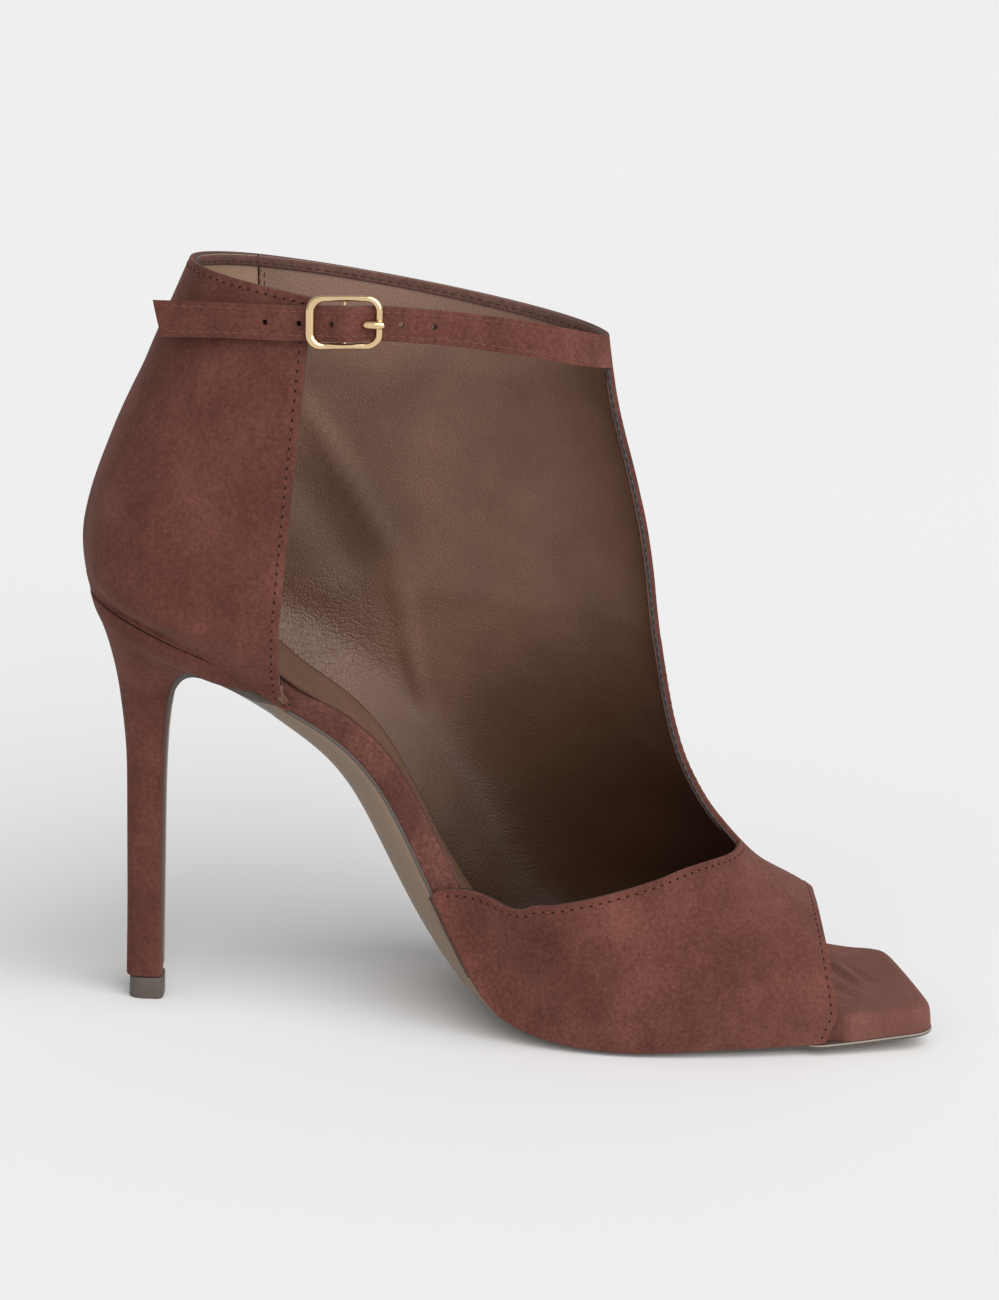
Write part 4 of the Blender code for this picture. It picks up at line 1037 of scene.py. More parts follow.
@dataclass
class Upper:
    """The lasted upper: suede outside, leather lining inside, with the strap cut in one with it."""

    last: Last
    strap: Strap
    wall: float = 0.0018
    suede: float = 0.00105
    gap: float = 0.0001
    columns: int = 96
    opening_ridge: float = 0.1995
    opening_inner: float = 0.2018
    opening_outer: float = 0.2015
    opening_bow: float = 0.0052
    quarter_end: float = 0.2320
    vamp_base: float = 0.435
    vamp_tip: float = 0.3906
    lining_seam: float = 0.0500
    skirt: float = 0.0013
    back_rows: int = 66
    seat_rows: int = 34
    waist_rows: int = 46
    vamp_rows: int = 76
    quarter_columns: int = 52
    stitch_inset: float = 0.0018
    topline_bow: float = 0.0286
    topline_dip: float = 0.0146
    # where the vamp's inner topline rises, bows and dips: a start and a length, as shares
    topline_rise: tuple[float, float] = (0.274, 0.297)
    topline_high: tuple[float, float] = (0.020, 0.507)
    topline_low: tuple[float, float] = (0.321, 0.648)
    skirt_starts: tuple[float, float] = (0.034, 0.012)
    skirt_ends: tuple[float, float] = (0.150, 0.030)
    seam_lean: float = 0.03
    band_gap: float = 0.00035
    hidden_height: float = 0.0058
    hidden_to: float = 0.19
    facing: float = 0.0030
    fold: float = 0.0020
    # front edge of the inner quarter, z and x as shares
    quarter_edge: tuple = (
        (0.400, 0.238),
        (0.520, 0.234),
        (0.640, 0.240),
        (0.780, 0.249),
        (0.900, 0.257),
        (1.000, 0.262),
    )
    creases: tuple[Crease, ...] = (
        Crease((54, 164), (85.5, 114), 1.9, 1.3),
        Crease((83, 118), (92.5, 70), 2.2, 0.9),
        Crease((49, 150), (78, 106), 6.0, -1.4),
        Crease((112, 150), (128, 96), 9.0, 0.5),
        Crease((60, 92), (86, 70), 5.0, 0.5),
        Crease((150, 78), (172, 50), 6.0, 0.6),
    )

    def __post_init__(self) -> None:
        """Lays out the rows and the four grids of the sheet."""
        last = self.last
        self.pattern: Optional[BMesh] = None
        self.skin: Optional[list] = None
        table = np.array(self.quarter_edge)
        self.quarter_line = Spline(table[:, 0] * last.top, table[:, 1] * last.length)
        self.vamp_station = last.station_of_base(last.length * self.vamp_base)
        self.tip_station = last.station_of_base(last.length * self.vamp_tip)
        self.quarter_station = last.station_of_base(last.length * self.quarter_end)
        seat_front = last.station_of_base(last.seat_setback + last.seat_radius)
        strap = self.strap.stations()
        stops = (strap[-1], last.seat_station, seat_front)
        stops += (self.quarter_station, self.vamp_station, 1.0)
        counts = (self.back_rows, self.seat_rows, 8, self.waist_rows, self.vamp_rows)
        rows = list(strap)
        for start, end, count in zip(stops, stops[1:], counts):
            rows += list(np.linspace(start, end, count + 1)[1:])
        self.rows = np.array(rows)
        self.outer = self._half(Side.OUTER, self.rows)
        self.vamp_from = int(np.argmin(np.abs(self.rows - self.vamp_station)))
        self.inner = self._half(Side.INNER, self.rows[self.vamp_from :])
        self.quarter = self._quarter()
        share = np.linspace(0, 1, self.columns + 1)
        self._even_out(self.outer, smooth_step(share / 0.1) * smooth_step((0.985 - share) / 0.12))
        share = np.linspace(0, 1, self.quarter_columns + 1)
        self._even_out(self.quarter, smooth_step(share / 0.15))
        self.band = self.strap.grid()

    def _even_out(self, points: Array, free: Array, rounds: int = 160) -> None:
        """Takes the fold at seat height out of a grid, by smoothing it from row to row.

        Args:
            points: Rows and columns of points, changed in place.
            free: How far each column may move, from 0 to 1.
            rounds: How many times to smooth.
        """
        row = np.arange(len(points)) - self.strap.rows
        ends = window(row, (2, 12), (len(points) - self.strap.rows - 1, 12))
        share = 0.25 * (ends[:, None] * free[None])[1:-1, :, None]
        for _ in range(rounds):
            points[1:-1] += share * (points[:-2] - 2 * points[1:-1] + points[2:])

    def _skirted(self, points: Array, side: Side, rows: Array) -> Array:
        """A side's grid with one more column, which laps over the outsole's edge."""
        last = self.last
        foot = points[:, -1].copy()
        start, fall = self.skirt_starts, self.skirt_ends
        drop = self.skirt * smooth_step((foot[:, 0] - start[0]) / start[1])
        drop = drop * (1 - smooth_step((foot[:, 0] - fall[0]) / fall[1]))
        lapped = (drop > 2e-4) & (rows > last.seat_station)
        x = foot[lapped, 0]
        wide = side.value * last.half_width(x, side)
        off = (foot[lapped] - last.sole_point(x, wide, self.gap)) * (1, 0, 1)
        foot[lapped] = last.sole_point(x, wide, self.gap - drop[lapped]) + off
        return np.concatenate([points, foot[:, None]], axis=1)

    def _opening(self, share: Array, side: Side) -> Array:
        """Where the peep toe's edge crosses each share, as a place along the base."""
        foot = self.opening_inner if side is Side.INNER else self.opening_outer
        straight = self.opening_ridge + (foot - self.opening_ridge) * share
        return straight + self.opening_bow * 4 * share * (1 - share)

    def _half(self, side: Side, rows: Array) -> Array:
        """Points of one side, with the vamp's rows drawn out to its two edges."""
        share = np.linspace(0, 1, self.columns + 1)
        ends = np.array([self.last.station_of_base(x) for x in self._opening(share, side)])
        inner = side is Side.INNER
        high, low = (
            np.sin(np.clip((share - start) / length, 0, 1) * math.pi) ** 2
            for start, length in (self.topline_high, self.topline_low)
        )
        start, length = self.topline_rise
        rise = smooth_step((share - start) / length) * inner
        starts = self.vamp_station + (self.tip_station - self.vamp_station) * rise
        starts = starts + inner * (self.topline_dip * low - self.topline_bow * high)
        rows = rows[:, None]
        portion = np.clip((rows - self.vamp_station) / (1 - self.vamp_station), 0, 1)
        drawn = starts + portion * (ends - starts)
        station = np.where(rows < self.vamp_station - 1e-9, rows, drawn)
        return self.last.section(station, share[None], side, self.gap)

    def _quarter(self) -> Array:
        """Points of the inner quarter, from the back seam or the seat to its front edge."""
        rows = self.rows[self.rows <= self.quarter_station + 1e-9]
        tries = np.linspace(0.2, 1, 321)
        found = self.last.section(rows[:, None], tries[None], Side.INNER, self.gap)
        edge = self.quarter_line(found[..., 2])[..., 0]
        ends = np.array([np.interp(0.0, line - x, tries) for line, x in zip(edge, found[..., 0])])
        ends[-1] = 1.0
        share = 1 + (ends - 1)[:, None] * np.linspace(0, 1, self.quarter_columns + 1)[None]
        return self.last.section(rows[:, None], share, Side.INNER, self.gap)

    def sheet(self) -> BMesh:
        """A copy of the upper's outer face, an open sheet with its creases and strap holes."""
        if self.pattern is None:
            self.pattern = self._draft()
        return self.pattern.copy()

    def _draft(self) -> BMesh:
        """Lays the four grids, welds them, and smooths and creases the sheet."""
        mesh = bmesh.new()
        outer = self._skirted(self.outer, Side.OUTER, self.rows)
        inner = self._skirted(self.inner, Side.INNER, self.rows[self.vamp_from :])
        rows = self.rows[: len(self.quarter)]
        quarter = self._skirted(self.quarter[:, ::-1], Side.INNER, rows)[:, ::-1]
        placed = [lay_grid(mesh, points) for points in (outer, inner, quarter, self.band)]
        self.strap.punch(mesh, placed[3])
        bmesh.ops.remove_doubles(mesh, verts=mesh.verts, dist=3e-5)
        turn_faces(mesh, Vector((0, 1, 0)))
        self._ease(mesh)
        self._press(mesh)
        mesh.normal_update()
        return mesh

    def _ease(self, mesh: BMesh) -> None:
        """Smooths the sheet between its edges."""
        sole = self.last.sole_height(np.array([v.co.x for v in mesh.verts]))
        above = [v for v, low in zip(mesh.verts, sole) if v.co.z > low + 0.004]
        free = [v for v in above if not v.is_boundary and not self._near_strap(v.co)]
        axes = {f"use_axis_{axis}": True for axis in "xyz"}
        for _ in range(8):
            bmesh.ops.smooth_vert(mesh, verts=free, factor=0.5, **axes)
        mesh.normal_update()

    def _near_strap(self, place: Vector) -> bool:
        """Whether a place is on the strap, or on the upper's edge beside it."""
        above = place.z > self.strap.top_edge(place.x)[0] - self.strap.width - 0.0005
        return above and place.y < 0.0005

    def _press(self, mesh: BMesh) -> None:
        """Presses the creases and a slight unevenness into the sheet, clear of the strap."""
        points = np.array([v.co for v in mesh.verts])
        normals = [v.normal.copy() for v in mesh.verts]
        push = sum(crease.push(points) for crease in self.creases)
        top = self.strap.top_edge(points[:, 0])[:, 0]
        inside = smooth_step((top - self.strap.width - points[:, 2]) / (12 * MM))
        outside = smooth_step((points[:, 1] - 2 * MM) / (8 * MM))
        free = np.maximum(inside, outside)
        for vertex, normal, depth, keep in zip(mesh.verts, normals, push, free):
            wave = noise.noise(vertex.co * 38) * 0.45 + noise.noise(vertex.co * 95) * 0.16
            vertex.co += normal * (wave * MM - depth) * keep

    def guides(self) -> dict[str, list[Array]]:
        """Lines that the stitches follow, on the undisturbed surface."""
        inset = self.stitch_inset
        last_strap = self.strap.rows
        ridge = self.outer[last_strap : self.vamp_from + 1]
        outer, inner = (inset_line(grid[::-1], inset) for grid in (self.outer, self.inner))
        toe = np.concatenate([outer[::-1], inner[1:]])
        return {
            "upper": [
                trimmed(self._collar(inset), 0.001, inset),
                trimmed(inset_line(self.quarter[:, ::-1].swapaxes(0, 1), inset), inset, 0.005),
                trimmed(inset_line(ridge.swapaxes(0, 1), inset), 0.001, 0.004),
                trimmed(inset_line(self.inner, inset), 0.002, 0.002),
                trimmed(toe, 0.002, 0.002),
            ],
            "strap": [
                trimmed(inset_line(self.band, 0.0014), 0.003, 0.002),
                trimmed(inset_line(self.band[::-1], 0.0014), 0.003, 0.002),
            ],
            "seam": [trimmed(self._seam_line(), 0.004, 0.008)],
            "rim": [trimmed(self.outer[last_strap : self.vamp_from - 1, 0], 0.001, 0.001)],
        }

    def _collar(self, down: float) -> Array:
        """The line that runs round the collar at a distance below its edge."""
        return np.concatenate([inset_line(self.outer, down), inset_line(self.quarter, down)[1:]])

    def settle(self, point: Array, depth: float) -> tuple[Vector, Vector]:
        """Finds the sheet beside a point.

        Args:
            point: A point near the sheet.
            depth: How far inside the sheet's outer face the answer lies.

        Returns:
            The place on the sheet or inside it, and the outward direction there.
        """
        if self.skin is None:
            mesh = self.sheet()
            self.skin = [(v.co.copy(), v.normal.copy()) for v in mesh.verts]
            mesh.free()
            self.tree = KDTree(len(self.skin))
            for i, (place, _) in enumerate(self.skin):
                self.tree.insert(place, i)
            self.tree.balance()
        point = Vector(point)
        place, out = self.skin[self.tree.find(point)[1]]
        return point + out * ((place - point).dot(out) - depth), out

    def _line_edge(self, maker: Maker, name: str, finish: str, lines: Sequence[Array]) -> None:
        """Makes a thin band on the lining, beside one of the upper's edges.

        Args:
            maker: What makes the pieces.
            name: The band's name.
            finish: Its finish.
            lines: Lines along the edge, from the edge inwards.
        """
        depth = self.wall + self.band_gap
        rows = [[self.settle(point, depth)[0] for point in line] for line in lines]
        mesh = bmesh.new()
        lay_grid(mesh, np.array(rows))
        turn_faces(mesh, Vector((0, 1, 0)), -1.0)
        maker.thicken(maker.piece(name, mesh, [finish]), 0.0003)

    def _line_edges(self, maker: Maker) -> None:
        """Makes the suede turned over the collar's edge, and the lining's fold beside the ridge."""
        collar = [self._collar(down) for down in np.linspace(0.0002, self.facing, 5)]
        self._line_edge(maker, "collar_facing", "facing", collar)
        ridge = self.outer[self.strap.rows + 2 : self.vamp_from - 2].swapaxes(0, 1)
        folds = []
        for down in np.linspace(0.0005, self.fold, 4):
            line = inset_line(ridge, down)
            places = np.linspace(0.002, chord_lengths(line)[-1] - 0.003, 160)
            folds.append(resampled(line, places))
        self._line_edge(maker, "ridge_fold", "lining_fold", folds)

    def _seam_line(self) -> Array:
        """The line beside the lining's seam, down the inside of the outer wall."""
        found = []
        for row in self.outer:
            back = row[len(row) // 2 :]
            at = self.lining_seam + 0.0015 - self.seam_lean * row[-1, 2]
            if back[-1, 0] < at < back[0, 0] and row[-1, 2] > 0.09:
                found.append([np.interp(-at, -back[:, 0], back[:, k]) for k in range(3)])
        return np.array(found)

    def _trim_foot(self, mesh: BMesh) -> None:
        """Takes away the lining's lowest rows, which the insole hides."""
        sole = self.last.sole_height
        low = [v for v in mesh.verts if v.co.z < sole(np.array(v.co.x)) + self.hidden_height]
        hidden = [v for v in low if v.co.x < self.hidden_to]
        bmesh.ops.delete(mesh, geom=hidden, context="VERTS")

    def build(self, maker: Maker) -> None:
        """Makes the suede, and the lining in its heel and side parts."""
        shell = maker.piece("upper_suede", self.sheet(), ["suede", "cut_edge"], ["upper"])
        maker.thicken(shell, self.suede)
        maker.round_edges(shell, 0.00028, 2, 60)
        linings = (("side_lining", "lining_leather", False), ("heel_lining", "heel_lining", True))
        for name, finish, back in linings:
            mesh = self.sheet()
            for vertex in mesh.verts:
                vertex.co -= vertex.normal * (self.suede + 0.00002)
            bmesh.ops.bisect_plane(
                mesh,
                geom=mesh.verts[:] + mesh.edges[:] + mesh.faces[:],
                dist=1e-6,
                plane_co=(self.lining_seam + (0.0 if back else 0.0004), 0, 0),
                plane_no=(1, 0, self.seam_lean),
                clear_outer=back,
                clear_inner=not back,
            )
            self._trim_foot(mesh)
            lining = maker.piece(name, mesh, [finish, "edge_paint"])
            maker.thicken(lining, self.wall - self.suede, 1)
        self._line_edges(maker)


def inset_line(points: Array, distance: float) -> Array:
    """The line that runs at a distance from a grid's first row, down its columns.

    Args:
        points: Rows and columns of points.
        distance: How far from the first row, in metres.

    Returns:
        One point for each column.
    """
    steps = np.linalg.norm(np.diff(points, axis=0), axis=-1)
    along = np.concatenate([np.zeros((1, points.shape[1])), np.cumsum(steps, axis=0)])
    found = [
        [np.interp(distance, along[:, j], points[:, j, k]) for k in range(3)]
        for j in range(points.shape[1])
    ]
    return np.array(found)


def trimmed(points: Array, start: float, end: float) -> Array:
    """A line of points without its first and last stretch."""
    run = chord_lengths(points)[-1]
    return resampled(points, np.linspace(start, run - end, max(2, int(run / 0.0004))))


@dataclass
class Stitching:
    """Rows of topstitching: threads outside and inside, and dark slots between them, painted shade
    where the needle holes are.
    """

    upper: Upper
    pitch: float = 0.0025
    stitch: float = 0.0016
    thread: float = 0.00036
    hole: float = 0.00066
    sunk: float = 0.00002
    finishes = {
        "upper": "suede_thread",
        "strap": "strap_thread",
        "lining": "lining_thread",
        "rim": "rim_thread",
        "hole": "needle_hole_shade",
    }

    def build(self, maker: Maker) -> None:
        """Sews along every guide."""
        meshes = {group: bmesh.new() for group in self.finishes}
        for group, lines in self.upper.guides().items():
            for line in lines:
                for start, end in self._stitches(line):
                    self._sew(meshes, group, start, end)
        for group, mesh in meshes.items():
            maker.piece(f"stitches_{group}", mesh, [self.finishes[group]])

    def _stitches(self, line: Array) -> list[tuple[Array, Array]]:
        """The ends of each stitch, spaced evenly along a line."""
        run = chord_lengths(line)[-1]
        count = max(2, round(run / self.pitch))
        middles = (np.arange(count) + 0.5) * run / count
        half = self.stitch / 2
        return list(zip(resampled(line, middles - half), resampled(line, middles + half)))

    def _sew(self, meshes: dict[str, BMesh], group: str, start: Array, end: Array) -> None:
        """Adds what shows of one stitch.

        Args:
            meshes: The meshes that take the threads and the slots.
            group: The group of the stitch's guide.
            start: One end, near the sheet.
            end: The other end.
        """
        upper = self.upper
        if group == "rim":
            self._thread(meshes[group], start, end, upper.suede + 0.0004, Vector((0, -1, 0)))
            return
        if group in ("upper", "strap"):
            self._thread(meshes[group], start, end, self.sunk)
        # painted shade: a flat near-black disc beyond each stitch, where its needle hole is
        if group == "upper":
            ball = bmesh.ops.create_icosphere(meshes["hole"], subdivisions=1, radius=1.0)
            size = (self.hole / 4, self.hole / 2, 0.0001)
            ends = (end, end + (end - start) * 0.45)
            self._stretch(meshes["hole"], ball["verts"], ends, 0.0, size)
        proud = 0.0004 if group == "upper" else self.sunk
        self._thread(meshes["lining"], start, end, upper.wall + proud)

    def _thread(
        self, mesh: BMesh, start: Array, end: Array, depth: float, out: Optional[Vector] = None
    ) -> None:
        """Adds one visible length of thread."""
        ball = bmesh.ops.create_uvsphere(mesh, u_segments=6, v_segments=5, radius=1.0)
        size = (0.0002, self.thread / 2, self.thread / 2)
        self._stretch(mesh, ball["verts"], (start, end), depth, size, out)

    def _stretch(
        self,
        mesh: BMesh,
        ball: list[BMVert],
        ends: tuple[Array, Array],
        depth: float,
        size: tuple[float, float, float],
        out: Optional[Vector] = None,
    ) -> None:
        """Stretches a unit ball between two points of the sheet.

        Args:
            mesh: The mesh that holds the ball.
            ball: Its vertices.
            ends: The two points, near the sheet.
            depth: How far it lies inside the sheet's outer face.
            size: How far it reaches past the points, and its half width and half height.
            out: Which way it faces, or None for the sheet's own outward direction.
        """
        (first, own), (last, _) = (self.upper.settle(point, depth) for point in ends)
        along = (last - first).normalized()
        side = (out or own).cross(along).normalized()
        turn = Matrix((along, side, along.cross(side))).transposed().to_4x4()
        past, wide, tall = size
        scale = Matrix.Diagonal(((last - first).length / 2 + past, wide, tall, 1))
        place = Matrix.Translation((first + last) / 2)
        bmesh.ops.transform(mesh, matrix=place @ turn @ scale, verts=ball)


@dataclass
class Footbed:
    """The suede-wrapped insole, and the leather sock that lies on it."""

    last: Last
    inset: float = 0.00225
    toe_inset: float = -0.0002
    thickness: float = 0.0068
    edge: float = 0.0024
    stations: int = 150
    waist_lift: float = 0.0013
    sock_inset: float = 0.0036
    sock_at_wall: float = 0.0021
    sock_thickness: float = 0.0004
    sock_end: float = 0.186
    crown: float = 0.0005
    toe_lift: float = 0.0008
    # a rise and a fall, each a place and a length along the shoe
    toe_run: tuple = ((0.196, 0.010), (0.224, 0.014))
    waist_run: tuple = ((0.050, 0.022), (0.124, 0.030))
    open_run: tuple = ((0.054, 0.006), (0.112, 0.008))
    widens: tuple[float, float] = (0.203, 0.006)
    folds: tuple[Crease, ...] = (
        Crease((204, 10), (212, -10), 1.5, 0.75, None, (0, 1)),
        Crease((207, 10), (214, -9), 1.4, -0.60, None, (0, 1)),
        Crease((210, 8), (216, -8), 1.5, 0.60, None, (0, 1)),
        Crease((203, -6), (211, -19), 1.6, 0.55, None, (0, 1)),
    )

    def _level(self, x: Array) -> Array:
        """The pad's thickness along it, more at the waist and at the toe."""
        toe, waist = window(x, *self.toe_run), window(x, *self.waist_run)
        return self.thickness + self.toe_lift * toe + self.waist_lift * waist

    def _ring(self, x: float, high: float) -> Array:
        """One cross ring of the insole, its upper corners rounded off."""
        last = self.last
        near_toe = float(smooth_step((x - self.widens[0]) / self.widens[1]))
        inset = self.inset - (self.inset - self.toe_inset) * near_toe
        outer = last.half_width(np.array(x), Side.OUTER, inset)
        inner = -last.half_width(np.array(x), Side.INNER, inset)
        edge = min(self.edge, 0.48 * (outer - inner))
        turn = np.linspace(0, math.pi / 2, 7)
        top = np.linspace(outer - edge, inner + edge, 36)[1:-1]
        crown = self.crown * (1 - (2 * (top - inner) / (outer - inner) - 1) ** 2)
        cosine, sine = edge * np.cos(turn), edge * np.sin(turn)
        y = [np.linspace(inner, outer, 12), outer - edge + cosine, top, inner + edge - sine]
        h = [np.zeros(12), high - edge + sine, high + crown, high - edge + cosine]
        return last.sole_point(x, np.concatenate(y), np.concatenate(h))

    def build(self, maker: Maker) -> None:
        """Makes the insole pad and the sock."""
        last = self.last
        start = last.seat_setback + self.inset + 0.0002
        end = last.length - self.toe_inset - 0.0001
        places = crowded(start, end, self.stations, 0.5)
        rings = []
        for x in places:
            fall = self.edge - math.sqrt(max(self.edge**2 - max(self.edge - (end - x), 0) ** 2, 0))
            rings.append(self._ring(x, self._level(x) - fall))
        mesh = bmesh.new()
        lay_rings(mesh, np.array(rings))
        points = np.array([v.co for v in mesh.verts])
        for vertex, depth in zip(mesh.verts, sum(fold.push(points) for fold in self.folds)):
            vertex.co.z -= depth
        pad = maker.piece("insole_pad", mesh, ["insole_suede"], ["insole"])
        maker.round_edges(pad, 0.0005, 2, 50)
        self._sock(maker)

    def _sock(self, maker: Maker) -> None:
        """Makes the leather sock, from the seat to under the vamp."""
        last = self.last
        close = self.sock_at_wall
        places = np.linspace(last.seat_setback + close + 0.0002, self.sock_end, 130)
        outer = last.half_width(places, Side.OUTER, close)
        open_side = window(places, *self.open_run)
        inner = last.half_width(places, Side.INNER, close) - (self.sock_inset - close) * open_side
        share = np.linspace(-1, 1, 25)[None]
        y = spanned(share, inner[:, None], outer[:, None])
        crown = self.crown * (1 - share**2)
        height = self._level(places)[:, None] + self.sock_thickness + crown
        mesh = bmesh.new()
        lay_grid(mesh, last.sole_point(places[:, None], y, height))
        turn_faces(mesh, Vector((0, 0, 1)))
        sock = maker.piece("sock", mesh, ["sock_leather", "cut_edge"])
        maker.thicken(sock, self.sock_thickness + 0.0002, 1)


@dataclass
class HeelUnit:
    """The covered heel with its tip, and the outsole that runs on down its breast."""

    last: Last
    tip_width: float = 0.0096
    tip_height: float = 0.006
    cover: float = 0.0006
    tip_forward: float = 0.0009
    cover_width: float = 0.86
    wing: float = 0.216
    points: int = 64
    outsole_inset: float = 0.0019
    toe_inset: float = -0.0004
    edge: float = 0.0010
    widens: tuple[float, float] = (0.195, 0.006)
    thins_over: float = 0.012
    rand_from: float = 0.197
    rand_height: float = 0.00055
    # the cover's inner face in the middle plane, x and z as shares
    breast: tuple = (
        (0.2280, 0.7150),
        (0.1960, 0.7720),
        (0.1700, 0.8050),
        (0.1470, 0.8185),
        (0.1280, 0.8130),
        (0.1150, 0.7850),
        (0.1078, 0.7400),
        (0.1030, 0.6600),
        (0.1010, 0.5600),
        (0.1007, 0.4000),
        (0.1009, 0.2000),
        (0.1011, 0.0600),
    )
    # back x and z, front x and z, half width, squareness
    rings: tuple = (
        (0.0602, 0.2000, 0.1010, 0.2000, 1.000, 0.80),
        (0.0590, 0.3800, 0.1008, 0.3800, 1.020, 0.70),
        (0.0580, 0.5200, 0.1012, 0.5200, 1.080, 0.60),
        (0.0560, 0.6200, 0.1028, 0.6320, 1.230, 0.50),
        (0.0516, 0.7050, 0.1058, 0.7120, 1.560, 0.45),
        (0.0460, 0.7850, 0.1120, 0.7680, 2.170, 0.42),
        (0.0398, 0.8450, 0.1225, 0.8065, 2.900, 0.40),
        (0.0332, 0.8950, 0.1420, 0.8240, 3.600, 0.40),
        (0.0262, 0.9350, 0.1630, 0.8190, 4.150, 0.42),
        (0.0198, 0.9650, 0.1850, 0.7970, 4.600, 0.45),
    )

    def __post_init__(self) -> None:
        """Works out the breast's line and the cover's widths along it."""
        last = self.last
        start = last.sole_point(self.breast[0][0] * last.length, 0.0, -0.0003)[[0, 2]]
        rows = np.array(self.breast[1:]) * (last.length, last.heel_rise) + (0, last.outsole_thickness)
        table = np.concatenate([[start], rows])
        along = chord_lengths(table)
        self.breast_line = Spline(along / along[-1], table)

    def _place(self, x: float, z: float) -> Array:
        """A point of the middle plane, from shares of the shoe's length and the heel's rise."""
        last = self.last
        return np.array([x * last.length, last.outsole_thickness + z * last.heel_rise])

    def _ring(self, back: Array, front: Array, wide: float, square: float) -> Array:
        """A ring of the heel: rounded behind and flat across the breast."""
        cosine, sine = circle(self.points)
        power = 1 - 0.5 * square
        along = signed_power(cosine, np.where(cosine > 0, power * 0.5, 1))
        across = signed_power(sine, power) * wide
        middle, half = (back + front) / 2, (front - back) / 2
        return np.stack([middle[0] + half[0] * along, across, middle[1] + half[1] * along], axis=1)

    def _seat(self, shrink: float, height: float) -> Array:
        """A ring on the heel's seat, from its outline inwards."""
        last = self.last
        cosine, sine = circle(self.points)
        back, front = last.seat_setback + 0.0002, self.wing * last.length
        middle = (back + front) / 2
        x = middle + (front - middle) * signed_power(cosine, np.where(cosine > 0, 0.4, 1))
        outline = np.where(sine < 0, last.half_width(x, Side.INNER), last.half_width(x, Side.OUTER))
        behind = np.clip((middle - x) / (middle - back), 0, 1)
        full = np.clip(np.abs(sine) / np.maximum(np.sqrt(1 - behind**2), 1e-6), 0, 1)
        y = np.sign(sine) * np.where(cosine > 0, np.abs(sine) ** 0.4, full) * outline
        return last.sole_point(middle + (x - middle) * shrink, y * shrink, height)

    def _heel(self, maker: Maker) -> None:
        """Makes the suede-covered heel."""
        last = self.last
        foot = self.tip_height + 0.0002
        tip_front = last.tip_setback + last.tip_length + self.tip_forward - self.cover
        half = self.tip_width / 2
        back, front = np.array([last.tip_setback, foot]), np.array([tip_front, foot])
        knots = [self._ring(back, front, half, 0.9)]
        for *places, wide, square in self.rings:
            back, front = (self._place(*pair) for pair in (places[:2], places[2:]))
            knots.append(self._ring(back, front, wide * half, square))
        knots.append(self._seat(1.0, -0.00012))
        knots = np.array(knots)
        gaps = np.linalg.norm(np.diff(knots, axis=0), axis=2).mean(axis=1)
        along = np.concatenate([[0.0], np.cumsum(gaps)])
        curve = Spline(along, knots.reshape(len(knots), -1))
        body = curve(np.linspace(0, along[-1], 110)).reshape(-1, self.points, 3)
        seat = [self._seat(shrink, -0.00025) for shrink in (0.97, 0.85, 0.7, 0.5, 0.3, 0.12)]
        mesh = bmesh.new()
        lay_rings(mesh, np.concatenate([body, seat]))
        heel = maker.piece("heel_cover", mesh, ["suede"], ["heel"])
        maker.round_edges(heel, 0.0005, 3, 45)

    def _tip(self, maker: Maker) -> None:
        """Makes the heel tip: an extruded block with bevelled edges."""
        last = self.last
        back = np.array([last.tip_setback + self.tip_forward, 0.0])
        front = np.array([last.tip_setback + last.tip_length + self.tip_forward, 0.0])
        mesh = bmesh.new()
        ring = [mesh.verts.new(p) for p in self._ring(back, front, self.tip_width / 2, 0.95)]
        bottom = mesh.faces.new(ring)
        raised = bmesh.ops.extrude_face_region(mesh, geom=[bottom])["geom"]
        corners = [g for g in raised if isinstance(g, BMVert)]
        bmesh.ops.translate(mesh, vec=(0, 0, self.tip_height), verts=corners)
        bmesh.ops.recalc_face_normals(mesh, faces=mesh.faces)
        rims = [e for e in mesh.edges if len(e.link_faces) == 2 and e.calc_face_angle(0) > 1.0]
        rounding = {"segments": 3, "profile": 0.5, "affect": "EDGES", "material": -1}
        bmesh.ops.bevel(mesh, geom=rims, offset=0.00035, **rounding)
        maker.piece("heel_tip_rubber", mesh, ["tip_grey_brown"], ["heel_tip"])

    def _cover_widths(self, share: Array) -> tuple[Array, Array]:
        """Half widths of the cover on the inner and the outer side, along its path."""
        last = self.last
        wing = np.array(self.breast[0][0] * last.length)
        samples = np.linspace(0, 1, 400)
        path = self.breast_line(samples)
        places, wide = [0.0], [0.0]
        for row in reversed(self.rings):
            front = self._place(row[2], row[3])
            places.append(samples[np.argmin(np.linalg.norm(path - front, axis=1))])
            wide.append(row[4] * self.tip_width / 2 * self.cover_width)
        sides = []
        for side in (Side.INNER, Side.OUTER):
            wide[0] = float(last.half_width(wing, side))
            sides.append(np.interp(share, places, wide) - self.outsole_inset)
        return sides[0], sides[1]

